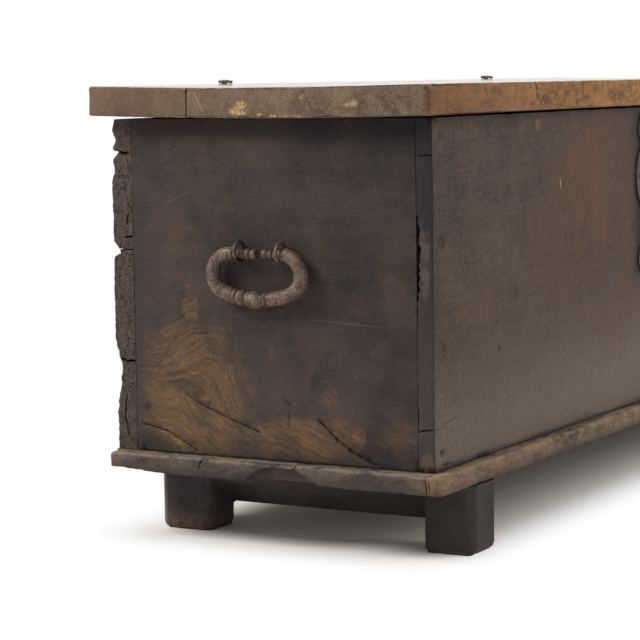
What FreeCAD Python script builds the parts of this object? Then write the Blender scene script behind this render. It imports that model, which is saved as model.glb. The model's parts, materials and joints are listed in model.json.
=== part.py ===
"""Plank trunk with forged drop handles, linked-eye lid hinges, an inside lock and sledge feet.

Millimetres, +Z up.  The origin is on the floor under the middle of the whole trunk.
+X runs along the trunk to its right end, -Y is the front.
"""
import FreeCAD, Part
import math
import os

V = FreeCAD.Vector

# ---------------------------------------------------------------- driving dimensions
# Walls: front and back boards run the full length, the end boards stand between them.
box_length = 1392.0
box_depth = 453.0
wall_height = 418.5
front_board_thickness = 22.0
back_board_thickness = 32.0
end_board_thickness = 36.0
back_joint_height = 255.0
board_gap = 0.4
arris_radius = 2.0

# Bottom planks under the walls, and the moulding strips nailed round their edges.
bottom_thickness = 24.0
bottom_plank_count = 3
moulding_end_width = 25.0
moulding_front_width = 20.0
moulding_back_inset = 2.4
moulding_top_radius = 6.0
moulding_lower_radius = 2.5
moulding_corner_radius = 11.0
moulding_tail_radius = 9.0

# The piece split away from the lower edge of the left moulding strip, and the worn tail.
split_from_front = 142.0
split_length = 106.0
split_height = 19.5
worn_tail_length = 115.0
worn_tail_height = 5.5

# Sledge feet: one beam under each end, with two feet and a coved rail between them.
beam_height = 86.0
beam_width = 72.0
beam_end_inset = 55.0
beam_front_overhang = 21.0
beam_back_inset = 28.7
front_foot_length = 65.0
rear_foot_length = 73.0
foot_corner_radius = 11.0
foot_sole_chamfer = 3.0
rail_floor_gap = 30.4
rail_lip = 14.0
rail_lip_setback = 3.0
rail_sole_width = 11.0
cove_hollow = 3.5

# Lid: two planks, cupped a little across their width, held by two battens.
lid_thickness = 37.2
lid_end_overhang = 32.0
lid_front_overhang = 11.7
lid_back_overhang = 11.7
lid_cup_radius = 9300.0
lid_cup_centre = 190.0
lid_seat_gap = 0.3
lid_joint_from_front = 318.0
lid_top_radius = 3.5
lid_lower_radius = 2.0
lid_corner_radius = 7.0
batten_width = 60.0
batten_thickness = 22.0
batten_end_gap = 14.0
batten_side_gap = 12.0
batten_bevel = 10.0

# Lid hinges: two pairs of eye pins linked like a chain, legs clinched over.
hinge_inset = 280.0
hinge_setback = 2.5
hinge_wire_radius = 2.1
hinge_eye_radius = 5.6
hinge_body_slope = 35.0
hinge_front_clinch = 10.0
hinge_rear_clinch = 6.0
hinge_inside_clinch = 13.0
hinge_clinch_rise = 3.4
notch_side_gap = 1.6
notch_depth_gap = 0.6

# Drop handles: a forged bail whose necks hang in two eye pins.
handle_height = 254.6
handle_pin_spacing = 58.4
handle_wire_radius = 2.25
handle_eye_radius = 12.0
handle_eye_gap = 1.2
handle_clinch = 17.0
neck_radius = 6.5
neck_clearance = 0.3
bail_bar_radius = 9.0
bail_drop = 55.8
bail_half_width = 62.0
bail_skew = 5.0
bail_upper_radius = 25.0
bail_lower_radius = 24.0
knob_gap = 8.6
stub_core_radius = 5.2
knob_length = 7.4
knob_radius = 6.8
band_length = 6.4
band_radius = 7.4
bead_groove = 1.2
neck_length = 7.4
shoulder_length = 3.0
barrel_length = 23.5
barrel_radius = 10.7
grip_band_length = 9.5
grip_band_radius = 9.9
grip_ring_length = 4.6
grip_ring_radius = 9.8
grip_groove = 3.2
bead_crown = 1.2
barrel_crown = 2.2

# Lock plate on the front, and the inside lock behind it.
plate_thickness = 2.5
plate_half_width = 40.0
plate_bottom_height = 179.0
plate_top_gap = 3.5
plate_disc_radius = 60.0
plate_disc_height = 322.0
plate_disc_margin = 12.0
lobe_radius = 26.0
lobe_centre_inset = 15.0
keyhole_height = 358.0
keyhole_radius = 5.5
keyhole_slot_width = 6.0
keyhole_slot_length = 15.0
keyway_margin = 1.6
lock_case_half_width = 50.0
lock_case_height = 96.0
lock_case_depth = 24.0
lock_case_top_gap = 6.0
sheet_thickness = 2.0
lock_ear_width = 13.0
lock_ear_height = 16.0
bolt_height = 9.0
bolt_thickness = 6.0
bolt_length = 66.0
bolt_tip = -26.0
bolt_travel = 12.0
bolt_rise = 22.0
bolt_talon_width = 9.0
bolt_talon_depth = 3.5
bolt_clearance = 0.3
guide_thickness = 4.0
guide_height = 18.0
guide_setback = 8.0
staple_x = -32.0
staple_wire_radius = 2.5
staple_bend_radius = 7.0
staple_below_bolt = 4.0
staple_plate_length = 46.0
staple_plate_width = 18.0
staple_plate_thickness = 3.0
spring_thickness = 1.2
spring_width = 8.0
spring_foot_height = 7.5

# Fasteners.
peg_radius = 4.5
peg_margin = 22.0
peg_count = 4
peg_depth = 40.0
foot_peg_radius = 6.0
foot_peg_depth = 24.0
peg_clearance = 0.1
nail_width = 3.4
nail_clearance = 0.1
nail_head_width = 9.0
nail_head_height = 1.8
cup_seat = 0.12
moulding_nail_length = 42.0
moulding_nail_count = 7
moulding_nail_margin = 70.0
moulding_end_nails = (60.0, 310.0, 400.0)
bottom_nail_length = 60.0
bottom_nail_pitch = 320.0
bottom_nail_end_pitch = 105.0
batten_nail_length = 44.0
batten_nail_margin = 45.0
batten_nail_count = 4
plate_nail_length = 18.0
case_nail_length = 14.0
staple_nail_length = 20.0
pin_clearance = 0.3

# ---------------------------------------------------------------- derived places
hinge_reach = hinge_eye_radius + hinge_wire_radius
rear_projection = max(lid_back_overhang, hinge_setback + hinge_reach)
front_projection = max(moulding_front_width, beam_front_overhang, lid_front_overhang)
overall_depth = front_projection + box_depth + rear_projection

left = -box_length / 2
right = box_length / 2
front = -overall_depth / 2 + front_projection
back = front + box_depth
inner_front = front + front_board_thickness
inner_back = back - back_board_thickness
bottom_top = beam_height + bottom_thickness
wall_top = bottom_top + wall_height
end_middle = left + end_board_thickness / 2
box_middle = front + box_depth / 2
peg_pitch = (wall_height - 2 * peg_margin) / (peg_count - 1)


# ---------------------------------------------------------------- helpers
def block(x0, x1, y0, y1, z0, z1):
    """Box between two corners."""
    return Part.makeBox(x1 - x0, y1 - y0, z1 - z0, V(x0, y0, z0))


def rod(start, direction, length, radius):
    """Round bar from a point along a direction."""
    return Part.makeCylinder(radius, length, start, direction)


def fused(shapes):
    """Several overlapping shapes as one solid."""
    first, *rest = shapes
    whole = first.multiFuse(rest) if rest else first
    return whole.removeSplitter()


def cut(shape, cutters):
    """A shape with several cutters taken out."""
    for cutter in cutters:
        shape = shape.cut(cutter)
    return shape


def rounded(shape, radius, chosen):
    """Fillets the edges whose middle point passes a test."""
    edges = [edge for edge in shape.Edges if chosen(edge, edge.CenterOfMass)]
    return shape.makeFillet(radius, edges)


def upright(edge):
    """True for a straight vertical edge."""
    ends = [vertex.Point for vertex in edge.Vertexes]
    return len(ends) == 2 and abs(ends[0].z - ends[1].z) > 0.9 * edge.Length


def near(value, target):
    """True where two places agree."""
    return abs(value - target) < 0.01


def mirrored(shape):
    """The same piece for the other end of the trunk."""
    return shape.mirror(V(0, 0, 0), V(1, 0, 0))


def sprig(tip_direction, place, length):
    """Headless forged nail, its square end flush at place."""
    half = nail_width / 2
    shank = Part.makeBox(nail_width, nail_width, length, V(-half, -half, -length))
    shank.Placement = FreeCAD.Placement(place, FreeCAD.Rotation(V(0, 0, -1), tip_direction))
    return shank


def nail(tip_direction, place, length):
    """Forged nail: square shank and low four-sided rose head, the head's underside at place."""
    half = nail_width / 2
    brim = nail_head_width / 2
    crown = nail_head_width / 6
    shank = Part.makeBox(nail_width, nail_width, length, V(-half, -half, -length))
    lower = Part.makePolygon([V(-brim, -brim, 0), V(brim, -brim, 0), V(brim, brim, 0),
                              V(-brim, brim, 0), V(-brim, -brim, 0)])
    upper = Part.makePolygon([V(-crown, -crown, nail_head_height), V(crown, -crown, nail_head_height),
                              V(crown, crown, nail_head_height), V(-crown, crown, nail_head_height),
                              V(-crown, -crown, nail_head_height)])
    head = Part.makeLoft([lower, upper], True, True)
    whole = shank.fuse(head).removeSplitter()
    whole.Placement = FreeCAD.Placement(place, FreeCAD.Rotation(V(0, 0, -1), tip_direction))
    return whole


def nail_hole(tip_direction, place, length):
    """Square hole that a nail's shank fills with a small clearance."""
    width = nail_width + 2 * nail_clearance
    depth = length + nail_clearance
    hole = Part.makeBox(width, width, depth, V(-width / 2, -width / 2, -depth))
    hole.Placement = FreeCAD.Placement(place, FreeCAD.Rotation(V(0, 0, -1), tip_direction))
    return hole


def split_pin(centre, leg, side, wire, eye, length, clinches):
    """Eye pin forged from one wire: a ring and two legs, each leg bent over at its end."""
    offset = wire + 0.05
    ring = Part.makeTorus(eye, wire, centre, leg.cross(side))
    pieces = [ring]
    for sign, clinch in zip((1, -1), clinches):
        start = centre + side * (sign * offset) + leg * math.sqrt(eye ** 2 - offset ** 2)
        run = length - math.sqrt(eye ** 2 - offset ** 2)
        end = start + leg * run
        pieces.append(rod(start, leg, run, wire))
        pieces.append(Part.makeSphere(wire, end))
        pieces.append(rod(end, clinch, clinch.Length, wire))
    return fused(pieces)


def pin_bore(centre, leg, wire, length):
    """Bore that takes the two legs of an eye pin side by side."""
    return rod(centre, leg, length, 2 * wire + 0.05 + pin_clearance)


def lid_underside(y):
    """Height of the cupped underside of the lid at a depth y."""
    offset = y - (front + lid_cup_centre)
    return wall_top + lid_seat_gap + lid_cup_radius - math.sqrt(lid_cup_radius ** 2 - offset ** 2)


def cupped_slab(y0, y1, thickness, above):
    """Section in the YZ plane of a slab that follows the lid's underside, above or below it."""
    rise = thickness if above else -thickness
    middle = (y0 + y1) / 2
    on_lid = [V(0, y, lid_underside(y)) for y in (y0, middle, y1)]
    away = [point + V(0, 0, rise) for point in on_lid]
    edges = [Part.Arc(*on_lid).toShape(), Part.makeLine(on_lid[2], away[2]),
             Part.Arc(away[2], away[1], away[0]).toShape(), Part.makeLine(away[0], on_lid[0])]
    return Part.Face(Part.Wire(edges))


pieces = {}

# ---------------------------------------------------------------- fastener places
wall_peg_heights = [bottom_top + peg_margin + step * peg_pitch for step in range(peg_count)]
wall_peg_places = [(x, z) for x in (end_middle, -end_middle) for z in wall_peg_heights]
front_pegs = [(V(x, front, z), V(0, 1, 0), front_board_thickness + peg_depth) for x, z in wall_peg_places]
back_pegs = [(V(x, back, z), V(0, -1, 0), back_board_thickness + peg_depth) for x, z in wall_peg_places]

plank_width = box_depth / bottom_plank_count
plank_middles = [front + plank_width * (index + 0.5) for index in range(bottom_plank_count)]
beam_middle = left + beam_end_inset + beam_width / 2
foot_pegs = [(V(x, y, bottom_top), V(0, 0, -1), bottom_thickness + foot_peg_depth)
             for x in (beam_middle, -beam_middle) for y in plank_middles]

moulding_middle = beam_height + bottom_thickness / 2
nail_step = (box_length - 2 * moulding_nail_margin) / (moulding_nail_count - 1)
moulding_nails = [(V(0, 1, 0), V(left + moulding_nail_margin + index * nail_step,
                                 front - moulding_front_width, moulding_middle))
                  for index in range(moulding_nail_count)]
for distance in moulding_end_nails:
    moulding_nails.append((V(1, 0, 0), V(left - moulding_end_width, front + distance, moulding_middle)))
    moulding_nails.append((V(-1, 0, 0), V(right + moulding_end_width, front + distance, moulding_middle)))

bottom_nails = []
for y in (front + front_board_thickness / 2, back - back_board_thickness / 2):
    for index in range(4):
        x = (index - 1.5) * bottom_nail_pitch
        bottom_nails.append((V(0, 0, 1), V(x, y, beam_height)))
for x in (end_middle, -end_middle):
    for index in range(3):
        y = box_middle + (index - 1) * bottom_nail_end_pitch
        bottom_nails.append((V(0, 0, 1), V(x, y, beam_height)))


def fitted(shape, pegs=(), nails=(), length=0.0, radius=peg_radius):
    """A board with the holes of the pegs and nails that pass through it."""
    holes = [rod(start, along, reach, radius + peg_clearance) for start, along, reach in pegs]
    holes += [nail_hole(along, place, length) for along, place in nails]
    return cut(shape, holes)


# ---------------------------------------------------------------- lock: places shared by its pieces
plate_front = front - plate_thickness
plate_top = wall_top - plate_top_gap
plate_bottom = bottom_top + plate_bottom_height
keyhole_z = bottom_top + keyhole_height
case_top = wall_top - lock_case_top_gap
case_bottom = case_top - lock_case_height
case_back = inner_front + lock_case_depth
bolt_y = inner_front + (lock_case_depth - sheet_thickness) / 2
bolt_z = wall_top - bolt_rise
disc_z = bottom_top + plate_disc_height
disc_nail_x = plate_disc_radius - plate_disc_margin
lobe_x = plate_half_width - lobe_centre_inset
lobe_places = [(sign * lobe_x, z) for sign in (-1, 1)
               for z in (plate_bottom + lobe_radius, plate_top - lobe_radius)]
plate_nails = [(V(0, 1, 0), V(x, plate_front, z))
               for x, z in lobe_places + [(-disc_nail_x, disc_z), (disc_nail_x, disc_z)]]
ear_x = lock_case_half_width + lock_ear_width / 2
ear_heights = (case_top - lock_ear_height, case_bottom + lock_ear_height)
case_nails = [(V(0, -1, 0), V(sign * ear_x, inner_front + sheet_thickness, z))
              for sign in (-1, 1) for z in ear_heights]


def keyhole(margin, y0, y1):
    """Keyhole seen from the front, a round hole over a slot, as a cutter from y0 to y1."""
    round_part = rod(V(0, y0, keyhole_z), V(0, 1, 0), y1 - y0, keyhole_radius + margin)
    half = keyhole_slot_width / 2 + margin
    slot = block(-half, half, y0, y1, keyhole_z - keyhole_slot_length - margin, keyhole_z)
    return round_part.fuse(slot)


# ---------------------------------------------------------------- walls
def make_front_board():
    """One wide plank with the keyway, the lock's nail holes and the peg holes."""
    board = block(left, right, front, inner_front, bottom_top, wall_top)
    board = rounded(board, arris_radius, lambda edge, at: upright(edge) and near(at.y, front))
    board = cut(board, [keyhole(keyway_margin, front - 1, inner_front + 1)])
    board = fitted(board, front_pegs, plate_nails, plate_nail_length)
    board = fitted(board, (), case_nails, case_nail_length)
    return fitted(board, (), bottom_nails, bottom_nail_length)


def hinge_pivot(x):
    """Point where the two eyes of a hinge meet, just behind the back board."""
    y = back + hinge_setback
    return V(x, y, lid_underside(y) - hinge_reach - lid_seat_gap)


body_slope = math.radians(hinge_body_slope)
body_leg = V(0, -math.cos(body_slope), -math.sin(body_slope))
lid_leg = V(0, 0, 1)
hinge_places = (left + hinge_inset, right - hinge_inset)


def hinge_cutters():
    """Notch in the top arris of the back board and the sloping bore of the legs, for each hinge."""
    cutters = []
    for x in hinge_places:
        pivot = hinge_pivot(x)
        half = hinge_reach + notch_side_gap
        depth = hinge_reach * 2 - hinge_setback + notch_depth_gap
        low = pivot.z - 2 * hinge_reach - notch_depth_gap
        cutters.append(block(x - half, x + half, back - depth, back + 1, low, wall_top + 1))
        cutters.append(pin_bore(pivot + body_leg * hinge_eye_radius, body_leg, hinge_wire_radius, 70))
    return cutters


def worn_bites(places):
    """Shallow hollows worn into the back arris of the left end grain."""
    bites = []
    for height, radius, depth, length in places:
        axis = V(left - 1, back + radius - depth, bottom_top + height)
        bites.append(rod(axis, V(1, 0, 0), length, radius))
    return bites


def make_back_boards():
    """Two planks, jointed a little above the middle, their left ends worn."""
    joint = bottom_top + back_joint_height
    lower = block(left, right, inner_back, back, bottom_top, joint - board_gap)
    upper = block(left, right, inner_back, back, joint, wall_top)
    upper = cut(upper, hinge_cutters())
    upper = cut(upper, worn_bites([(374.0, 11.0, 5.0, 40.0), (back_joint_height, 9.0, 6.0, 55.0)]))
    lower = cut(lower, worn_bites([(back_joint_height, 9.0, 6.0, 55.0), (97.0, 24.0, 6.0, 34.0)]))
    lower = fitted(lower, [peg for peg in back_pegs if peg[0].z < joint], bottom_nails, bottom_nail_length)
    upper = fitted(upper, [peg for peg in back_pegs if peg[0].z > joint])
    return upper, lower


handle_pin_centre_x = left - (handle_eye_radius + handle_wire_radius + handle_eye_gap)
eye_inner_radius = handle_eye_radius - handle_wire_radius
handle_z = bottom_top + handle_height
handle_eye_z = handle_z + eye_inner_radius - neck_radius - neck_clearance
handle_pin_ys = (box_middle - handle_pin_spacing / 2, box_middle + handle_pin_spacing / 2)


def make_end_board():
    """End board let in between the front and back boards, with the bores of the handle's pins."""
    board = block(left, left + end_board_thickness, inner_front, inner_back, bottom_top, wall_top)
    bores = [pin_bore(V(left - 1, y, handle_eye_z), V(1, 0, 0), handle_wire_radius, end_board_thickness + 2)
             for y in handle_pin_ys]
    board = cut(board, bores)
    board = fitted(board, front_pegs + back_pegs)
    return fitted(board, (), bottom_nails, bottom_nail_length)


pieces["front_board"] = make_front_board()
pieces["back_board_upper"], pieces["back_board_lower"] = make_back_boards()
pieces["end_board_left"] = make_end_board()
pieces["end_board_right"] = mirrored(pieces["end_board_left"])


# ---------------------------------------------------------------- bottom and base moulding
def make_bottom_planks():
    """Planks along the trunk, nailed up into the walls and pegged down into the foot beams."""
    planks = []
    for middle in plank_middles:
        half = (plank_width - board_gap) / 2
        plank = block(left, right, middle - half, middle + half, beam_height, bottom_top)
        plank = fitted(plank, foot_pegs, radius=foot_peg_radius)
        plank = fitted(plank, (), bottom_nails, bottom_nail_length)
        planks.append(fitted(plank, (), moulding_nails, moulding_nail_length))
    return planks


def make_front_moulding():
    """Front strip, which runs past both corners of the trunk."""
    outer = front - moulding_front_width
    ends = (left - moulding_end_width, right + moulding_end_width)
    strip = block(ends[0], ends[1], outer, front, beam_height, bottom_top)
    outside = lambda at: at.y < front - 0.5
    strip = rounded(strip, moulding_corner_radius, lambda edge, at: upright(edge) and near(at.y, outer))
    strip = rounded(strip, moulding_top_radius, lambda edge, at: near(at.z, bottom_top) and outside(at))
    strip = rounded(strip, moulding_lower_radius, lambda edge, at: near(at.z, beam_height) and outside(at))
    return fitted(strip, (), moulding_nails, moulding_nail_length)


def make_end_moulding():
    """End strip, which butts behind the front strip and has a rounded tail at the back."""
    outer = left - moulding_end_width
    tail = back - moulding_back_inset
    strip = block(outer, left, front, tail, beam_height, bottom_top)
    strip = rounded(strip, moulding_tail_radius,
                    lambda edge, at: upright(edge) and near(at.x, outer) and near(at.y, tail))
    outside = lambda at: at.x < left - 0.5 and at.y > front + 0.5
    strip = rounded(strip, moulding_top_radius, lambda edge, at: near(at.z, bottom_top) and outside(at))
    strip = rounded(strip, moulding_lower_radius, lambda edge, at: near(at.z, beam_height) and outside(at))
    return fitted(strip, (), moulding_nails, moulding_nail_length)


def split_cutter():
    """Long flake lost from the lower edge of the left strip: steep at its ends, flat on top."""
    start = front + split_from_front
    end = start + split_length
    low = beam_height - 1
    high = beam_height + split_height
    shoulder = split_length / 3
    x = left - moulding_end_width - 1
    rise = Part.Arc(V(x, start, low), V(x, start + 0.6 * shoulder, low + 0.62 * split_height),
                    V(x, start + shoulder, high)).toShape()
    fall = Part.Arc(V(x, end - shoulder, high), V(x, end - 0.35 * shoulder, low + 0.7 * split_height),
                    V(x, end, low)).toShape()
    top = Part.makeLine(V(x, start + shoulder, high), V(x, end - shoulder, high))
    sole = Part.makeLine(V(x, end, low), V(x, start, low))
    face = Part.Face(Part.Wire([rise, top, fall, sole]))
    return face.extrude(V(moulding_end_width + 1, 0, 0))


def worn_tail_cutter():
    """Wedge worn off the underside of the left strip towards its tail."""
    tail = back - moulding_back_inset
    x = left - moulding_end_width - 1
    corners = [V(x, tail - worn_tail_length, beam_height - 1), V(x, tail + 1, beam_height - 1),
               V(x, tail + 1, beam_height + worn_tail_height), V(x, tail - worn_tail_length, beam_height - 1)]
    return Part.Face(Part.makePolygon(corners)).extrude(V(moulding_end_width + 1, 0, 0))


for name, plank in zip(("front", "middle", "rear"), make_bottom_planks()):
    pieces["bottom_plank_" + name] = plank
pieces["base_moulding_front"] = make_front_moulding()
end_moulding = make_end_moulding()
pieces["base_moulding_left"] = cut(end_moulding, [split_cutter(), worn_tail_cutter()])
pieces["base_moulding_right"] = mirrored(end_moulding)


# ---------------------------------------------------------------- sledge feet
def make_foot_beam():
    """Beam with a foot at each end and a coved rail between the feet."""
    outer = left + beam_end_inset
    inner = outer + beam_width
    y0 = front - beam_front_overhang
    y1 = back - beam_back_inset
    beam = block(outer, inner, y0, y1, 0, beam_height)
    beam = rounded(beam, foot_corner_radius, lambda edge, at: upright(edge))
    soles = [edge for edge in beam.Edges if near(edge.BoundBox.ZMax, 0)]
    beam = beam.makeChamfer(foot_sole_chamfer, soles)
    gap0 = y0 + front_foot_length
    gap1 = y1 - rear_foot_length
    lip = V(outer + rail_lip_setback, gap0, beam_height - rail_lip)
    toe = V(inner - rail_sole_width, gap0, rail_floor_gap)
    across = (toe - lip).normalize()
    hollow = (lip + toe) * 0.5 + V(-across.z, 0, across.x) * cove_hollow
    clear = 5.0
    edges = [Part.makeLine(V(outer - clear, gap0, lip.z), lip), Part.Arc(lip, hollow, toe).toShape(),
             Part.makeLine(toe, V(inner + clear, gap0, toe.z)),
             Part.makeLine(V(inner + clear, gap0, toe.z), V(inner + clear, gap0, -clear)),
             Part.makeLine(V(inner + clear, gap0, -clear), V(outer - clear, gap0, -clear)),
             Part.makeLine(V(outer - clear, gap0, -clear), V(outer - clear, gap0, lip.z))]
    hollowing = Part.Face(Part.Wire(edges)).extrude(V(0, gap1 - gap0, 0))
    return fitted(beam.cut(hollowing), foot_pegs, radius=foot_peg_radius)


pieces["foot_beam_left"] = make_foot_beam()
pieces["foot_beam_right"] = mirrored(pieces["foot_beam_left"])


# ---------------------------------------------------------------- lid
lid_left = left - lid_end_overhang
lid_right = right + lid_end_overhang
lid_front = front - lid_front_overhang
lid_back = back + lid_back_overhang
lid_joint = front + lid_joint_from_front
batten_x0 = left + end_board_thickness + batten_end_gap
batten_x1 = batten_x0 + batten_width
batten_y0 = inner_front + batten_side_gap
batten_y1 = inner_back - batten_side_gap
batten_nail_step = (batten_y1 - batten_y0 - 2 * batten_nail_margin) / (batten_nail_count - 1)
batten_nails = []
for x in ((batten_x0 + batten_x1) / 2, -(batten_x0 + batten_x1) / 2):
    for index in range(batten_nail_count):
        y = batten_y0 + batten_nail_margin + index * batten_nail_step
        batten_nails.append((V(0, 0, 1), V(x, y, lid_underside(y) - batten_thickness - cup_seat)))

staple_y = bolt_y
staple_plate_y0 = staple_y - staple_plate_width / 2
staple_plate_y1 = staple_y + staple_plate_width / 2
staple_plate_top = min(lid_underside(staple_plate_y0), lid_underside(staple_plate_y1))
staple_nails = [(V(0, 0, 1), V(staple_x + sign * staple_plate_length / 3, staple_y,
                               staple_plate_top - staple_plate_thickness)) for sign in (-1, 1)]


def make_lid_plank(y0, y1, outer_y):
    """One plank of the lid: cupped section, eased arrises and rounded corners on its outer edge."""
    plank = cupped_slab(y0, y1, lid_thickness, True).extrude(V(lid_right - lid_left, 0, 0))
    plank.translate(V(lid_left, 0, 0))
    ends = (lid_left, lid_right)
    outside = lambda at: near(at.y, outer_y) or any(near(at.x, end) for end in ends)
    corner = lambda edge, at: upright(edge) and near(at.y, outer_y)
    plank = rounded(plank, lid_corner_radius, corner)
    middle_z = lid_underside(outer_y) + lid_thickness / 2
    flat = lambda edge: not upright(edge)
    rim = lambda at: not near(at.y, lid_joint) and (outside(at) or near_corner(at, outer_y))
    plank = rounded(plank, lid_top_radius, lambda edge, at: flat(edge) and rim(at) and at.z > middle_z)
    return rounded(plank, lid_lower_radius, lambda edge, at: flat(edge) and rim(at) and at.z < middle_z)


def near_corner(at, outer_y):
    """True inside the rounded corner of a lid plank."""
    reach = lid_corner_radius
    return abs(at.y - outer_y) < reach and min(at.x - lid_left, lid_right - at.x) < reach


def make_batten():
    """Batten across the lid planks, bevelled at both ends."""
    batten = cupped_slab(batten_y0, batten_y1, batten_thickness, False).extrude(V(batten_width, 0, 0))
    batten.translate(V(batten_x0, 0, 0))
    low = [edge for edge in batten.Edges
           if abs(edge.CenterOfMass.x - (batten_x0 + batten_x1) / 2) < 1
           and edge.CenterOfMass.z < lid_underside(edge.CenterOfMass.y) - batten_thickness / 2]
    batten = batten.makeChamfer(batten_bevel, low)
    return fitted(batten, (), batten_nails, batten_nail_length)


hinge_bores = [pin_bore(hinge_pivot(x) + lid_leg * (hinge_eye_radius / 2), lid_leg, hinge_wire_radius, 80)
               for x in hinge_places]
lid_plank_front = make_lid_plank(lid_front, lid_joint - board_gap / 2, lid_front)
lid_plank_front = fitted(lid_plank_front, (), batten_nails, batten_nail_length)
pieces["lid_plank_front"] = fitted(lid_plank_front, (), staple_nails, staple_nail_length)
lid_plank_rear = make_lid_plank(lid_joint + board_gap / 2, lid_back, lid_back)
lid_plank_rear = fitted(lid_plank_rear, (), batten_nails, batten_nail_length)
pieces["lid_plank_rear"] = cut(lid_plank_rear, hinge_bores)
pieces["lid_batten_left"] = make_batten()
pieces["lid_batten_right"] = mirrored(pieces["lid_batten_left"])


# ---------------------------------------------------------------- hinges
def make_body_eye(x):
    """Eye pin of the back board: legs slope down through the board and are clinched inside."""
    pivot = hinge_pivot(x)
    centre = pivot + body_leg * hinge_eye_radius
    reach = (centre.y - inner_back + hinge_wire_radius + 0.2) / math.cos(body_slope)
    clinches = (V(hinge_inside_clinch, 0, 0), V(-hinge_inside_clinch, 0, 0))
    return split_pin(centre, body_leg, V(1, 0, 0), hinge_wire_radius, hinge_eye_radius, reach, clinches)


def make_lid_eye(x):
    """Eye pin of the lid: upright legs through the lid, clinched forward and back on top."""
    pivot = hinge_pivot(x)
    rise = lid_underside(pivot.y) + lid_thickness + hinge_clinch_rise - pivot.z
    clinches = []
    for sign, reach in ((1, hinge_rear_clinch), (-1, hinge_front_clinch)):
        tip_y = pivot.y + sign * (hinge_wire_radius + reach)
        seat_z = lid_underside(tip_y) + lid_thickness + lid_seat_gap + hinge_wire_radius
        clinches.append(V(0, sign * reach, seat_z - pivot.z - rise))
    return split_pin(pivot, lid_leg, V(0, 1, 0), hinge_wire_radius, hinge_eye_radius, rise, clinches)


for name, x in zip(("left", "right"), hinge_places):
    pieces["back_hinge_eye_" + name] = make_body_eye(x)
    pieces["lid_hinge_eye_" + name] = make_lid_eye(x)


# ---------------------------------------------------------------- drop handles
def bead(start, along, length, radius, crown):
    """Turned bead with a slightly domed side, from a point along a direction."""
    ends = [V(0, 0, 0), V(radius - crown, 0, 0), V(radius, 0, length / 2), V(radius - crown, 0, length),
            V(0, 0, length)]
    dome = Part.Arc(ends[1], ends[2], ends[3]).toShape()
    outline = Part.Wire([Part.makeLine(ends[0], ends[1]), dome, Part.makeLine(ends[3], ends[4]),
                         Part.makeLine(ends[4], ends[0])])
    shape = Part.Face(outline).revolve(V(0, 0, 0), V(0, 0, 1), 360)
    shape.Placement = FreeCAD.Placement(start, FreeCAD.Rotation(V(0, 0, 1), along))
    return shape


def loop_path(x, z):
    """Centre line of the bail's loop, from the front shoulder round the bottom to the back one."""
    middle = box_middle + bail_skew
    low_centre_y = bail_half_width - bail_lower_radius
    low_centre_z = -bail_upper_radius
    depth = bail_drop - bail_upper_radius
    swing = (low_centre_y ** 2 + depth ** 2 - bail_lower_radius ** 2) / (2 * (depth - bail_lower_radius))
    centre_z = swing - bail_drop
    slope = math.atan2(low_centre_y, centre_z - low_centre_z)

    def at(y, height):
        return V(x, middle + y, z + height)

    def side(sign):
        """Points of one side: shoulder, upper arc, lower arc and the end of the bottom arc."""
        top_y = bail_half_width - bail_upper_radius
        eighth = math.sqrt(0.5)
        half_turn = (math.pi / 2 - slope) / 2
        upper = (at(sign * top_y, 0),
                 at(sign * (top_y + bail_upper_radius * eighth), bail_upper_radius * (eighth - 1)),
                 at(sign * bail_half_width, -bail_upper_radius))
        lower = [at(sign * (low_centre_y + bail_lower_radius * math.cos(turn)),
                    low_centre_z - bail_lower_radius * math.sin(turn))
                 for turn in (0, half_turn, 2 * half_turn)]
        return upper, lower

    (front_upper, front_lower), (back_upper, back_lower) = side(-1), side(1)
    shoulder_y = handle_pin_spacing / 2 + neck_length / 2 + shoulder_length - 0.5
    edges = [Part.makeLine(V(x, box_middle - shoulder_y, z), front_upper[0]),
             Part.Arc(*front_upper).toShape(), Part.Arc(*front_lower).toShape(),
             Part.Arc(front_lower[2], at(0, -bail_drop), back_lower[2]).toShape(),
             Part.Arc(*reversed(back_lower)).toShape(), Part.Arc(*reversed(back_upper)).toShape(),
             Part.makeLine(back_upper[0], V(x, box_middle + shoulder_y, z))]
    return Part.Wire(edges), swing, centre_z


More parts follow.
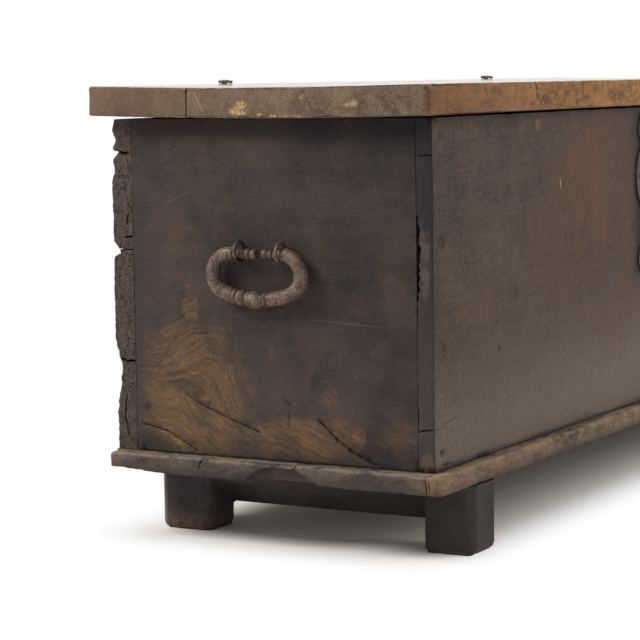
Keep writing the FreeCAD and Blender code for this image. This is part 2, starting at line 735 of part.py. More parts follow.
def make_bail():
    """Forged bail: round loop, necked ends with bands and knobs, and a barrel at the grip."""
    x = handle_pin_centre_x
    z = handle_z
    path, swing, centre_z = loop_path(x, z)
    start = path.Vertexes[0].Point
    section = Part.Wire(Part.Circle(start, V(0, 1, 0), bail_bar_radius).toShape())
    loop = path.makePipe(Part.Face(section))
    parts = [loop]
    for sign in (-1, 1):
        along = V(0, sign, 0)
        origin = V(x, box_middle, z)
        neck_start = handle_pin_spacing / 2 - neck_length / 2
        knob_start = knob_gap / 2
        band_start = knob_start + knob_length + bead_groove
        collar_start = band_start + band_length + bead_groove
        collar_length = neck_start - collar_start
        parts.append(rod(origin + along * (knob_start + 1), along, neck_start - knob_start, stub_core_radius))
        parts.append(bead(origin + along * knob_start, along, knob_length, knob_radius, bead_crown))
        parts.append(bead(origin + along * band_start, along, band_length, band_radius, bead_crown))
        parts.append(bead(origin + along * collar_start, along, collar_length, band_radius, bead_crown))
        parts.append(rod(origin + along * (neck_start - collar_length / 2), along,
                         neck_length + collar_length / 2, neck_radius))
        shoulder = Part.makeCone(neck_radius, bail_bar_radius, shoulder_length,
                                 origin + along * (neck_start + neck_length), along)
        parts.append(shoulder)
    grip = grip_ring_length / 2 - barrel_length / 2 - bead_groove
    grip_beads = [(grip - grip_ring_length, grip_ring_length, grip_ring_radius, bead_crown),
                  (grip + bead_groove, barrel_length, barrel_radius, barrel_crown)]
    band_place = grip + bead_groove + barrel_length + grip_groove
    grip_beads.append((band_place, grip_band_length, grip_band_radius, bead_crown))
    ring_place = band_place + grip_band_length + bead_groove
    grip_beads.append((ring_place, grip_ring_length, grip_ring_radius, bead_crown))
    for place, length, radius, crown in grip_beads:
        turn = (place + length / 2) / swing
        tangent = V(0, math.cos(turn), math.sin(turn))
        middle = V(x, box_middle + bail_skew + swing * math.sin(turn), z + centre_z - swing * math.cos(turn))
        parts.append(bead(middle - tangent * (length / 2), tangent, length, radius, crown))
    return fused(parts)


def make_handle_pins():
    """The two eye pins of one handle, clinched up and down against the inside of the end board."""
    inside = end_board_thickness + handle_wire_radius + 0.2 - (handle_pin_centre_x - left)
    clinches = (V(0, 0, handle_clinch), V(0, 0, -handle_clinch))
    pins = [split_pin(V(handle_pin_centre_x, y, handle_eye_z), V(1, 0, 0), V(0, 0, 1), handle_wire_radius,
                      handle_eye_radius, inside, clinches) for y in handle_pin_ys]
    return Part.makeCompound(pins)


pieces["handle_left"] = make_bail()
pieces["handle_right"] = mirrored(pieces["handle_left"])
pieces["handle_eye_pins_left"] = make_handle_pins()
pieces["handle_eye_pins_right"] = mirrored(pieces["handle_eye_pins_left"])


# ---------------------------------------------------------------- lock
def make_lock_plate():
    """Iron plate, a disc between four lobed corners, with the keyhole."""
    sheet = block(-plate_half_width, plate_half_width, plate_front, front, plate_bottom + lobe_radius,
                  plate_top - lobe_radius)
    rounds = [(x, z, lobe_radius) for x, z in lobe_places] + [(0, disc_z, plate_disc_radius)]
    discs = [rod(V(x, plate_front, z), V(0, 1, 0), plate_thickness, radius) for x, z, radius in rounds]
    plate = fused([sheet] + discs)
    plate = cut(plate, [keyhole(0, plate_front - 1, front + 1)])
    return fitted(plate, (), plate_nails, plate_nail_length)


def make_lock_case():
    """Sheet iron tray with four ears, a slot for the staple and two guides for the bolt."""
    half = lock_case_half_width
    tray = block(-half, half, inner_front, case_back, case_bottom, case_top)
    hollow = block(-half + sheet_thickness, half - sheet_thickness, inner_front - 1,
                   case_back - sheet_thickness, case_bottom + sheet_thickness, case_top - sheet_thickness)
    tray = tray.cut(hollow)
    ears = []
    for sign in (-1, 1):
        for z in ear_heights:
            x0, x1 = sorted((sign * (half - 1), sign * (half + lock_ear_width)))
            ears.append(block(x0, x1, inner_front, inner_front + sheet_thickness,
                              z - lock_ear_height / 2, z + lock_ear_height / 2))
    guides = []
    last_guide = bolt_tip + bolt_length - bolt_travel - guide_setback - 2 * guide_thickness
    for x in (bolt_tip + guide_setback, last_guide):
        guides.append(block(x, x + guide_thickness, bolt_y - bolt_thickness, case_back - sheet_thickness / 2,
                            bolt_z - guide_height / 2, bolt_z + guide_height / 2))
    window = block(-half + sheet_thickness, half - sheet_thickness,
                   bolt_y - bolt_thickness / 2 - bolt_clearance, bolt_y + bolt_thickness / 2 + bolt_clearance,
                   bolt_z - bolt_height / 2 - bolt_clearance, bolt_z + bolt_height / 2 + bolt_clearance)
    slot_half = staple_wire_radius + 3.0
    slot = block(staple_x - slot_half, staple_x + slot_half, inner_front - 1, case_back - sheet_thickness,
                 case_top - 2 * sheet_thickness, case_top + 1)
    case = fused([tray] + ears + guides)
    case = cut(case, [window, slot])
    return fitted(case, (), case_nails, case_nail_length)


def make_bolt():
    """Lock bolt, a flat bar with a talon for the key's bit."""
    bar = block(bolt_tip, bolt_tip + bolt_length, bolt_y - bolt_thickness / 2, bolt_y + bolt_thickness / 2,
                bolt_z - bolt_height / 2, bolt_z + bolt_height / 2)
    talon = block(-bolt_talon_width / 2, bolt_talon_width / 2, bolt_y - bolt_thickness, bolt_y + bolt_thickness,
                  bolt_z - bolt_height, bolt_z - bolt_height / 2 + bolt_talon_depth)
    return bar.cut(talon)


def make_spring():
    """Leaf spring from the end of the case down to the top of the bolt's tail."""
    x1 = lock_case_half_width - sheet_thickness
    x0 = bolt_tip + bolt_length - bolt_travel - guide_setback + 1
    low = bolt_z + bolt_height / 2 + bolt_clearance
    high = low + spring_foot_height
    y = bolt_y - spring_width / 2
    under = [V(x1, y, high), V((x0 + x1) / 2, y, low + 0.3 * spring_foot_height), V(x0, y, low)]
    over = [point + V(0, 0, spring_thickness) for point in reversed(under)]
    outline = Part.Wire([Part.Arc(*under).toShape(), Part.makeLine(under[2], over[0]),
                         Part.Arc(*over).toShape(), Part.makeLine(over[2], under[0])])
    return Part.Face(outline).extrude(V(0, spring_width, 0))


def make_staple():
    """Staple under the lid: a plate and a loop of wire that the bolt passes through."""
    plate = block(staple_x - staple_plate_length / 2, staple_x + staple_plate_length / 2,
                  staple_plate_y0, staple_plate_y1, staple_plate_top - staple_plate_thickness, staple_plate_top)
    bend_z = bolt_z - bolt_height / 2 - staple_below_bolt + staple_bend_radius - staple_wire_radius
    head_z = staple_plate_top - staple_plate_thickness / 2
    front_leg = V(staple_x, staple_y - staple_bend_radius, bend_z)
    back_leg = V(staple_x, staple_y + staple_bend_radius, bend_z)
    bend = Part.Arc(front_leg, V(staple_x, staple_y, bend_z - staple_bend_radius), back_leg).toShape()
    path = Part.Wire([Part.makeLine(V(staple_x, front_leg.y, head_z), front_leg), bend,
                      Part.makeLine(back_leg, V(staple_x, back_leg.y, head_z))])
    section = Part.Wire(Part.Circle(V(staple_x, front_leg.y, head_z), V(0, 0, 1), staple_wire_radius).toShape())
    loop = path.makePipe(Part.Face(section))
    return fitted(fused([plate, loop]), (), staple_nails, staple_nail_length)


pieces["lock_plate"] = make_lock_plate()
pieces["lock_case"] = make_lock_case()
pieces["lock_bolt"] = make_bolt()
pieces["lock_spring"] = make_spring()
pieces["lid_staple"] = make_staple()


# ---------------------------------------------------------------- fasteners
def peg_group(pegs, radius=peg_radius):
    """A row of round wooden pegs."""
    return Part.makeCompound([rod(start, along, reach, radius) for start, along, reach in pegs])


def nail_group(nails, length):
    """A row of forged nails."""
    return Part.makeCompound([nail(along, place, length) for along, place in nails])


pieces["front_pegs"] = peg_group(front_pegs)
pieces["back_pegs"] = peg_group(back_pegs)
pieces["foot_pegs"] = peg_group(foot_pegs, foot_peg_radius)
pieces["moulding_nails"] = Part.makeCompound([sprig(along, place, moulding_nail_length)
                                              for along, place in moulding_nails])
pieces["bottom_nails"] = nail_group(bottom_nails, bottom_nail_length)
pieces["batten_nails"] = nail_group(batten_nails, batten_nail_length)
pieces["lock_plate_nails"] = nail_group(plate_nails, plate_nail_length)
pieces["lock_case_nails"] = nail_group(case_nails, case_nail_length)
pieces["staple_nails"] = nail_group(staple_nails, staple_nail_length)

# ---------------------------------------------------------------- export
os.makedirs("parts", exist_ok=True)
for name, shape in pieces.items():
    shape.exportStep("parts/" + name + ".step")
    print(name, len(shape.Solids), "solid(s)", "valid" if shape.isValid() else "NOT VALID",
          round(shape.Volume / 1000, 1), "cm3")
pivot = hinge_pivot(0)
print("lid hinge at", pivot.y, pivot.z, "handle pivot at", handle_pin_centre_x, handle_z)
print("front", front, "back", back, "wall top", wall_top, "overall depth", overall_depth)
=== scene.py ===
import math
import random
from functools import reduce

import bmesh
import bpy
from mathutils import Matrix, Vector, noise
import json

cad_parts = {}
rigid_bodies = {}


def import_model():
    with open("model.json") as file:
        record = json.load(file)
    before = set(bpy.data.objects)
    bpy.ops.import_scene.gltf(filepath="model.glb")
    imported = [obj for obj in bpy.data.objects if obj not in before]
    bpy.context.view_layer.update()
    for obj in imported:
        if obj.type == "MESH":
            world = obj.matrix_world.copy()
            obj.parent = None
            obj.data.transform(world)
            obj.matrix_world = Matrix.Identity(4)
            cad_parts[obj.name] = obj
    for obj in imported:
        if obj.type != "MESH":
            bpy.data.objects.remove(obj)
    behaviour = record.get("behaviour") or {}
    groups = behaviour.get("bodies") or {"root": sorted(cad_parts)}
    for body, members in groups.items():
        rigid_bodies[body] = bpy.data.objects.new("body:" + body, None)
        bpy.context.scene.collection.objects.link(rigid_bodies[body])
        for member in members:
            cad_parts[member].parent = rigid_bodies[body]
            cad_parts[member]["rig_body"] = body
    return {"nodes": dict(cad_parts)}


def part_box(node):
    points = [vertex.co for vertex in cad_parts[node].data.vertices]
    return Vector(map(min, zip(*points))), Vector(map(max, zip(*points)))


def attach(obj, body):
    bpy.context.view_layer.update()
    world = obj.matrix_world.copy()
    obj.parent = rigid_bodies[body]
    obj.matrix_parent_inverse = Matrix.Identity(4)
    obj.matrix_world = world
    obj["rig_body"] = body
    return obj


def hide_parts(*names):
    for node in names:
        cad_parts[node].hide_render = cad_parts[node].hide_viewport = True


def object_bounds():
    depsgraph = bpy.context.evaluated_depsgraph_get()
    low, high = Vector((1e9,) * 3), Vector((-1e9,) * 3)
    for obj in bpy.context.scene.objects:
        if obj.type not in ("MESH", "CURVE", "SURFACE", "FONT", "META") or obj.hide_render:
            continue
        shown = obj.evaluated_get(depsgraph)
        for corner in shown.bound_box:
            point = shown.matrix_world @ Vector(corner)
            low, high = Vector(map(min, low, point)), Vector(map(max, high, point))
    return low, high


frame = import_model()
cad_low, cad_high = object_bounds()


# ======================================== sledge feet
# A chest of this kind stands on two beams of smoked hardwood, one under each end. Each is sawn from one
# piece: a foot at the front and back with eased corners, and between them a rail hollowed to a cove with
# an adze. They are nearly black with smoke and handling, and scraped brown along their soles.

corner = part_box("front_board")[0]


def box(node):
    """Lowest and highest corner of a piece, as every place here, from the walls' lower front left corner."""
    low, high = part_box(node)
    return low - corner, high - corner


class Value:
    """A shader socket that stands in sums: 1 - mask * 0.4 adds the Math nodes for it."""

    def __init__(self, finish, socket):
        self.finish = finish
        self.socket = socket

    def maths(self, operation, *terms):
        return self.finish.node("Math", {"operation": operation}, dict(enumerate(terms)))

    def __add__(self, other):
        return self.maths("ADD", self, other)

    def __sub__(self, other):
        return self.maths("SUBTRACT", self, other)

    def __rsub__(self, other):
        return self.maths("SUBTRACT", other, self)

    def __mul__(self, other):
        return self.maths("MULTIPLY", self, other)

    def __truediv__(self, other):
        return self.maths("DIVIDE", self, other)

    def __abs__(self):
        return self.maths("ABSOLUTE", self)

    def least(self, other):
        return self.maths("MINIMUM", self, other)

    def most(self, other):
        return self.maths("MAXIMUM", self, other)

    def root(self):
        return self.maths("SQRT", self)

    def ease(self, start, end):
        """0 before start, 1 after end, with a soft change between; start may be above end."""
        return self.finish.node("MapRange", {"interpolation_type": "SMOOTHSTEP"},
                                {"Value": self, "From Min": start, "From Max": end})

    def spread(self, share, middle=1.0):
        """Noise round 0.5 as swings round a middle, to make a colour uneven by a share."""
        return middle + (self - 0.5) * share

    def other(self, output):
        """Another output of the same node."""
        return Value(self.finish, self.socket.node.outputs[output])

    __radd__ = __add__
    __rmul__ = __mul__


class Finish:
    """The finish of one kind of surface, worked up as a craftsman would: ground, grain, stains and marks."""

    def __init__(self, name, owner=None):
        self.owner = owner or bpy.data.materials.new(name)
        self.owner.use_nodes = True
        self.tree = self.owner.node_tree
        self.tree.nodes.clear()
        point = self.node("TexCoord", output="Object")
        self.place = self.node("VectorMath", {"operation": "SUBTRACT"}, {0: point, 1: corner})
        self.x = self.node("SeparateXYZ", {}, {0: self.place})
        self.y = self.x.other(1)
        self.z = self.x.other(2)

    def node(self, kind, settings=None, inputs=None, output=0):
        """Adds a node: its settings first, then the values or links of its sockets."""
        made = self.tree.nodes.new("ShaderNode" + kind)
        for name, value in (settings or {}).items():
            setattr(made, name, value)
        for key, value in (inputs or {}).items():
            if isinstance(value, Value):
                self.tree.links.new(value.socket, made.inputs[key])
            else:
                made.inputs[key].default_value = value
        return Value(self, made.outputs[output]) if made.outputs else None

    def stretched(self, size, stretch, seed):
        """The place on the piece, in units of a blotch's size, drawn out along the grain."""
        scale = [1 / (size * s) for s in stretch]
        return self.node("VectorMath", {"operation": "MULTIPLY_ADD"},
                         {0: self.place, 1: scale, 2: [seed * 3.7, seed * 1.9, seed * 5.3]})

    def cloud(self, place, detail, roughness):
        """Noise round 0.5 at a place that is already in units of its blotches."""
        return self.node("TexNoise", {},
                         {"Vector": place, "Scale": 1.0, "Detail": detail, "Roughness": roughness})

    def noise(self, size, detail=4, roughness=0.55, stretch=(1, 1, 1), seed=0):
        """Noise round 0.5 whose blotches are about `size` metres across."""
        return self.cloud(self.stretched(size, stretch, seed), detail, roughness)

    def blotches(self, start, end, *noise, **more):
        """Noise drawn out to clear blotches: 0 below start, 1 above end, or the other way round."""
        return self.noise(*noise, **more).ease(start, end)

    def flow(self, across, along, width, length, seed=0):
        """Streaks of a width and length that follow a bent line, from how far across and along a place is."""
        bent = self.node("CombineXYZ", {}, {0: across / width, 1: along / length, 2: seed * 1.7})
        return self.cloud(bent, 3, 0.6)

    def dots(self, size, stretch=(1, 1, 1), seed=0):
        """Distance from scattered points that lie about `size` metres apart, 0 at a point."""
        return self.node("TexVoronoi", {}, {"Vector": self.stretched(size, stretch, seed), "Scale": 1.0})

    def blend(self, under, over, mask):
        """One colour laid over another by a mask."""
        return self.node("Mix", {"data_type": "RGBA"}, {0: mask, 6: under, 7: over}, 2)

    def shaded(self, colour, amount):
        """A colour made darker or lighter by a number."""
        plain = colour if isinstance(colour, Value) else colour[:3]
        return self.node("VectorMath", {"operation": "SCALE"}, {0: plain, "Scale": amount})

    def lay(self, over, mask):
        """Lays a colour over the colour so far, by a mask."""
        self.colour = self.blend(self.colour, over, mask)

    def tint(self, amount):
        """Makes the colour so far darker or lighter by a number."""
        self.colour = self.shaded(self.colour, amount)

    def patch(self, across, up, centre, radii, edge=0.3):
        """Soft oval on a face: 1 inside, falling to 0 at its radii."""
        side = (across - centre[0]) / radii[0]
        rise = (up - centre[1]) / radii[1]
        return (side * side + rise * rise).ease(1.0, edge)

    def patches(self, across, up, ovals, edge=0.0):
        """The strongest of several soft ovals, each with its centre, radii and strength."""
        return reduce(Value.most, [self.patch(across, up, centre, radii, edge) * strength
                                   for centre, radii, strength in ovals])

    def stroke(self, across, up, start, end, width):
        """Straight mark on a face from start to end, thinning out at both ends."""
        length = math.dist(start, end)
        run = ((end[0] - start[0]) / length, (end[1] - start[1]) / length)
        side = across - start[0]
        rise = up - start[1]
        along = side * run[0] + rise * run[1]
        off = abs(side * run[1] - rise * run[0])
        tapered = along.ease(0, 0.2 * length) * along.ease(length, 0.8 * length)
        return off.ease(width, 0.0) * tapered

    def line(self, across, up, points, width):
        """A drawn line through points of a face, one stroke for each stretch."""
        return reduce(Value.most, [self.stroke(across, up, start, end, width)
                                   for start, end in zip(points, points[1:])])

    def from_arris(self, low, high):
        """How far a point of a squared piece's surface lies from the nearest arris."""
        inward = [(value - a).least(b - value) for value, a, b in zip((self.x, self.y, self.z), low, high)]
        smaller = inward[0].least(inward[1])
        larger = inward[0].most(inward[1])
        return smaller.most(larger.least(inward[2]))

    def done(self, roughness, height, relief, specular=0.15, metallic=0.0, polish=0.0):
        """Joins the colour so far, gloss, relief and wax polish to the surface."""
        bump = self.node("Bump", {}, {"Strength": 1.0, "Distance": relief, "Height": height})
        shader = self.node("BsdfPrincipled", {},
                           {"Base Color": self.colour, "Roughness": roughness, "Metallic": metallic,
                            "Specular IOR Level": specular, "Normal": bump, "Coat Weight": polish,
                            "Coat Roughness": 0.12})
        self.node("OutputMaterial", {}, {"Surface": shader})
        return self.owner


def shade(red, green, blue):
    """A colour read off a paint card, 0 to 255, as the light that it sends back."""
    parts = [channel / 255 for channel in (red, green, blue)]
    return [part / 12.92 if part < 0.04 else ((part + 0.055) / 1.055) ** 2.4 for part in parts] + [1.0]


def old_wood(name, along, dark, light, seed):
    """Ground finish of smoked and handled timber, its grain along an axis (0, 1 or 2)."""
    wood = Finish(name)
    drawn = [22 if axis == along else 1 for axis in range(3)]
    streaked = [6 if axis == along else 1 for axis in range(3)]
    wood.fibre = wood.noise(0.0017, 3, 0.6, drawn, seed)
    wood.bands = wood.noise(0.018, 5, 0.6, streaked, seed + 1)
    wood.clouds = wood.noise(0.11, 5, 0.6, (1, 1, 1), seed + 2)
    wood.dust = wood.noise(0.0042, 5, 0.85, (1, 1, 1), seed + 3)
    tone = wood.clouds * 0.75 + wood.bands * 0.25
    speckle = wood.dust.spread(1.3) + (wood.fibre - 0.5) * 0.6
    wood.colour = wood.shaded(wood.blend(dark, light, tone.ease(0.36, 0.64)), speckle)
    wood.height = wood.fibre * 0.4 + wood.bands * 0.3 + wood.dust * 0.3
    wood.rough = 0.5 + wood.clouds * 0.12 + wood.dust * 0.1
    return wood


def rule(low, high, pitch):
    """Evenly spaced places strictly between two ends, no further apart than the pitch."""
    count = math.ceil((high - low) / pitch)
    return [low + (high - low) * step / count for step in range(1, count)]


def grid(low, high, pitches, extra=([], [], [])):
    """Places of the planes that divide a piece, one list for each axis; a pitch of 0 gives none."""
    return [(rule(*ends) if ends[2] else []) + more for *ends, more in zip(low, high, pitches, extra)]


def placed(name, data):
    """Sets a new object into the scene, at the frame's origin."""
    made = bpy.data.objects.new(name, data)
    bpy.context.scene.collection.objects.link(made)
    return made


def worn(node, lines, wear, cutters=()):
    """The maker's piece as years of use leave it. The node's own shape loses the cutters, is divided by
    planes at lines (one list for each axis), and each point moves back by wear(point, normal)."""
    same_point = 2e-6
    flat_turn = math.radians(0.5)
    sharp_turn = math.radians(40)
    source = frame["nodes"][node]
    shape = bmesh.new()
    shape.from_mesh(source.data)
    bmesh.ops.remove_doubles(shape, verts=shape.verts, dist=same_point)
    bmesh.ops.dissolve_limit(shape, angle_limit=flat_turn, verts=shape.verts, edges=shape.edges)
    mesh = bpy.data.meshes.new(node + "_worn")
    shape.to_mesh(mesh)
    shape.free()
    piece = placed(node + "_worn", mesh)
    for cutter in cutters:
        step = piece.modifiers.new("cut", "BOOLEAN")
        step.operation = "DIFFERENCE"
        step.solver = "EXACT"
        step.object = cutter
    if cutters:
        mesh = bpy.data.meshes.new_from_object(piece.evaluated_get(bpy.context.evaluated_depsgraph_get()))
        piece.modifiers.clear()
        piece.data = mesh
        for cutter in cutters:
            bpy.data.objects.remove(cutter)
    shape = bmesh.new()
    shape.from_mesh(mesh)
    for axis, places in enumerate(lines):
        normal = Vector([float(axis == other) for other in range(3)])
        for place in places:
            bmesh.ops.bisect_plane(shape, geom=shape.verts[:] + shape.edges[:] + shape.faces[:], dist=1e-6,
                                   plane_co=corner + normal * place, plane_no=normal)
    bmesh.ops.triangulate(shape, faces=[face for face in shape.faces if len(face.verts) > 4])
    shape.normal_update()
    moves = [wear(vert.co - corner, vert.normal) for vert in shape.verts]
    for vert, move in zip(shape.verts, moves):
        vert.co -= move
    shape.to_mesh(mesh)
    shape.free()
    mesh.materials.clear()
    mesh.shade_smooth()
    mesh.set_sharp_from_angle(angle=sharp_turn)
    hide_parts(node)
    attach(piece, source["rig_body"])
    return piece


def dress(piece, finish):
    """Gives a piece its finish."""
    piece.data.materials.append(finish)


def hand_worn(low, high, dents, arris, flat, seed):
    """Wear of a squared piece: slow hand-planed hollows, rubbed arrises and dents along them."""
    arris_reach = 0.007
    offset = Vector((seed * 2.1, seed * 4.3, seed * 1.7))

    def wear(point, normal):
        inward = sorted(min(p - a, b - p) for p, a, b in zip(point, low, high))
        near = max(0.0, 1 - inward[1] / arris_reach)
        slow = flat * (0.5 + 0.5 * noise.noise(point / 0.06 + offset))
        rubbed = arris * near * (0.6 + 0.4 * noise.noise(point / 0.025 + offset))
        dented = dents * near * max(0.0, noise.noise(point / 0.011 - offset) - 0.12) * 1.6
        return normal * (slow + rubbed + dented)
    return wear


foot_dark = shade(39, 35, 35)
foot_light = shade(66, 59, 56)
foot_scraped = shade(104, 78, 58)
# pale of the rubbed arrises and of the painted highlight on the rear corner
foot_rubbed_and_lit = shade(118, 110, 100)
foot_round = 0.017
foot_arris = 0.005
inner_round = 0.015
sole_draft = 0.0026
draft_height = 0.008
touching = 1e-5
toe_length = 0.065
heel_length = 0.073
rail_gap = 0.03


def foot_worn(low, high):
    """Wear of a sledge beam, and the upright corners of its two feet, rounded off with a drawknife."""
    planed = hand_worn(low, high, 0.002, 0.0008, 0.0004, 3)
    feet = ((low.y, low.y + toe_length), (high.y - heel_length, high.y))
    inner = high.x if low.x < 0.5 else low.x
    back_inner = high.y - heel_length

    def wear(point, normal):
        move = planed(point, normal)
        drawn_in = sole_draft * max(0.0, 1 - (point.z - low.z) / draft_height)
        for front, back in feet:
            if not front - touching < point.y < back + touching:
                continue
            move.x += drawn_in * (2 * point.x - low.x - high.x) / (high.x - low.x)
            move.y += drawn_in * (2 * point.y - front - back) / (back - front)
            for side in (low.x, high.x):
                for face in (front, back):
                    if side == inner and face not in (low.y, high.y) and point.z - low.z > rail_gap:
                        continue
                    radius = foot_arris
                    if face == back_inner:
                        radius = inner_round
                    if side != inner and face in (low.y, back_inner):
                        radius = foot_round
                    centre = Vector((side + math.copysign(radius, (low.x + high.x) / 2 - side),
                                     face + math.copysign(radius, (front + back) / 2 - face)))
                    out = Vector((point.x, point.y)) - centre
                    beyond = (side - centre.x) * out.x > 0 and (face - centre.y) * out.y > 0
                    if beyond and out.length > radius:
                        out *= 1 - radius / out.length
                        move += Vector((out.x, out.y, 0))
        return move
    return wear


for side in ("left", "right"):
    low, high = box("foot_beam_" + side)
    rounds = [0.0008, 0.0022, 0.005, 0.0085, 0.012, inner_round, foot_round]
    faces = (low.y, low.y + toe_length, high.y - heel_length, high.y)
    beside_ends = [low.x + step for step in rounds] + [high.x - step for step in rounds]
    beside_faces = [face + step for face in faces[::2] for step in rounds]
    beside_faces += [face - step for face in faces[1::2] for step in rounds]
    above_sole = [low.z + step for step in (0.002, 0.004, 0.01, rail_gap)]
    lines = grid(low, high, (0.008, 0.008, 0.007), (beside_ends, beside_faces, above_sole))
    beam = worn("foot_beam_" + side, lines, foot_worn(low, high))
    wood = old_wood("smoked_foot_" + side, 1, foot_dark, foot_light, 11)
    height = wood.z - low.z
    scrapes = wood.noise(0.005, 4, 0.6, (1, 1, 8), 12)
    to_the_back = wood.y.ease(0.05, 0.42)
    wood.tint(scrapes.spread(0.6) * (0.9 + to_the_back * 0.66))
    sole = (height + (wood.clouds - 0.5) * 0.03).ease(0.026, 0.006)
    sole = sole * wood.y.ease(0.15, 0.3)
    scraped = sole * wood.blotches(0.34, 0.56, 0.009, 5, 0.7, seed=5)
    wood.lay(foot_scraped, scraped * 0.6)
    # painted highlight on the rounded rear corner of the foot's outer end
    painted_corner_highlight = wood.y.ease(high.y - 0.012, high.y - 0.006)
    painted_corner_highlight = painted_corner_highlight * wood.x.ease(low.x + 0.03, low.x + 0.01)
    rubbed = wood.from_arris(low, high).ease(0.006, 0.002)
    rubbed = rubbed * wood.blotches(0.44, 0.62, 0.05, 3, 0.6, seed=7)
    wood.lay(foot_rubbed_and_lit, rubbed * 0.3 + painted_corner_highlight * 0.6)
    worn_through = height.ease(0.004, 0.001)
    wood.lay(shade(44, 26, 24), worn_through * 0.7)
    dress(beam, wood.done(wood.rough, wood.height, 0.0008))


# ======================================== bottom
# Three planks of softer wood lie along the chest on the feet, with the walls standing on their rims. They
# are nailed up into the walls and pegged down into the feet, and were never oiled: grey underneath,
# brown and dusty inside.

bare_dark = shade(70, 58, 48)
bare_light = shade(122, 101, 80)
bare_pore = shade(52, 42, 36)
under_grey = shade(96, 88, 80)


def left_bare(wood, mask):
    """Lays the dusty look of planed wood that was never oiled over a part of a piece."""
    dusty = 0.5 + wood.clouds * 0.4 + wood.bands * 0.3 + wood.dust * 0.3
    wood.lay(wood.shaded(bare_light, dusty), mask * 0.9)


for place, seed in (("front", 1), ("middle", 2), ("rear", 3)):
    node = "bottom_plank_" + place
    low, high = box(node)
    lines = grid(low, high, (0.03, 0.015, 0))
    plank = worn(node, lines, hand_worn(low, high, 0.001, 0.0005, 0.0005, seed))
    wood = old_wood("bottom_wood_" + place, 0, bare_dark, bare_light, 20 + seed)
    pores = wood.blotches(0.6, 0.7, 0.0014, 2, 0.5, (26, 1, 1), seed)
    wood.lay(bare_pore, pores * 0.6)
    wood.lay(under_grey, wood.z.ease(high.z - 0.004, low.z) * 0.5)
    dress(plank, wood.done(wood.rough + 0.15, wood.height - pores * 0.4, 0.0007))


# ======================================== walls
# The front is one wide plank, the back two, and the end boards are let in between them, so that the ends
# of the front and back planks show as strips of end grain at the corners. All are pegged. The left ends
# of the back planks are rotten and gnawed, and the front plank has sprung open along its joint.

wall_dark = shade(64, 51, 42)
wall_light = shade(86, 69, 57)
# paler colour painted low on the front as bounce light and sheen
wall_sheen_pale = shade(113, 98, 87)
# dark of the stain in the middle of the front, and of the painted shade at the foot of the front board
wall_stain_and_shade = shade(40, 34, 32)
wall_red = shade(122, 74, 50)
wall_gold = shade(160, 122, 72)
wall_warm = shade(80, 58, 43)
hole_dark = shade(22, 19, 17)
front_out = (0, -1, 0)
up = (0, 0, 1)


def end_grain(wood, axis, low, high, stain=None, size=0.0018):
    """Roughens the sawn ends of a piece, where its fibres come out, and may stain their pits."""
    value = (wood.x, wood.y, wood.z)[axis]
    pits = wood.noise(size, 3, 0.65, seed=31)
    sawn = abs(value - low[axis]).least(abs(value - high[axis])).ease(0.0022, 0.0012)
    if stain:
        wood.lay(stain, sawn * pits.ease(0.5, 0.36) * 0.8)
    wood.height = wood.height + sawn * pits * 0.9
    wood.rough = wood.rough + sawn * 0.12
    return sawn


def split(points, width, depth, outward, seed):
    """Ragged V-shaped cutter along points of a face: what is taken out where the wood has checked."""
    step_length = 0.005
    above_face = 0.0015
    flare = 1.3
    chance = random.Random(seed)
    out = Vector(outward)
    path = [corner + Vector(points[0])]
    for start, end in zip(points, points[1:]):
        run = Vector(end) - Vector(start)
        steps = max(2, round(run.length / step_length))
        sway = run.cross(out).normalized()
        for step in range(1, steps + 1):
            stray = 0 if step == steps else chance.uniform(-0.25, 0.25) * width
            path.append(corner + Vector(start) + run * step / steps + sway * stray)
    shape = bmesh.new()
    rings = []
    for index, point in enumerate(path):
        ahead = path[min(index + 1, len(path) - 1)] - path[max(index - 1, 0)]
        side = ahead.cross(out).normalized()
        part = math.sin(math.pi * (index + 0.35) / (len(path) - 0.3)) ** 0.6
        half = 0.5 * width * part * chance.uniform(0.7, 1.1)
        top = point + out * above_face
        rings.append([shape.verts.new(at) for at in (top + side * half * flare, point - out * depth * part,
                                                     top - side * half * flare)])
    for ring, following in zip(rings, rings[1:]):
        for here in range(3):
            after = (here + 1) % 3
            shape.faces.new((ring[here], ring[after], following[after], following[here]))
    shape.faces.new(rings[0][::-1])
    shape.faces.new(rings[-1])
    bmesh.ops.recalc_face_normals(shape, faces=shape.faces)
    mesh = bpy.data.meshes.new("split")
    shape.to_mesh(mesh)
    shape.free()
    return placed("split", mesh)


def end_check(places, width, depth, seed, end=0.0):
    """A check in the left end of a piece, through places given by how far back and up they are."""
    return split([(end, y, z) for y, z in places], width, depth, (-1, 0, 0), seed)


# front plank
low, high = box("front_board")
front_checks = [end_check([(0.023, 0.0475), (0.002, 0.0515)], 0.0016, 0.008, 4),
                split([(0.001, 0, 0.0515), (0.016, 0, 0.051), (0.054, 0, 0.06)],
                      0.0012, 0.004, front_out, 5),
                end_check([(0.018, 0.374), (0.001, 0.375)], 0.0012, 0.006, 6),
                end_check([(0.0225, 0.192), (0.0215, 0.25), (0.0235, 0.312)], 0.0085, 0.03, 7)]
lines = grid(low, high, (0.018, 0.0055, 0.009), ([0.002, 0.005, 0.01], [], []))
front_board = worn("front_board", lines, hand_worn(low, high, 0.0012, 0.0005, 0.0003, 5), front_checks)
wood = old_wood("front_board_finish", 0, wall_dark, wall_light, 41)
drips = wood.noise(0.007, 4, 0.6, (1, 1, 9), 42)
wood.tint(drips.spread(0.45))
combed = wood.noise(0.0022, 4, 0.7, (14, 1, 1), 43)
# painted shadow of the lid's overhang: the front board darkened towards its top edge
painted_lid_shadow = (high.z - wood.z).ease(0.022, 0.002)
wood.tint(combed.spread(0.7, 0.93) * (1.0 - painted_lid_shadow * 0.36))
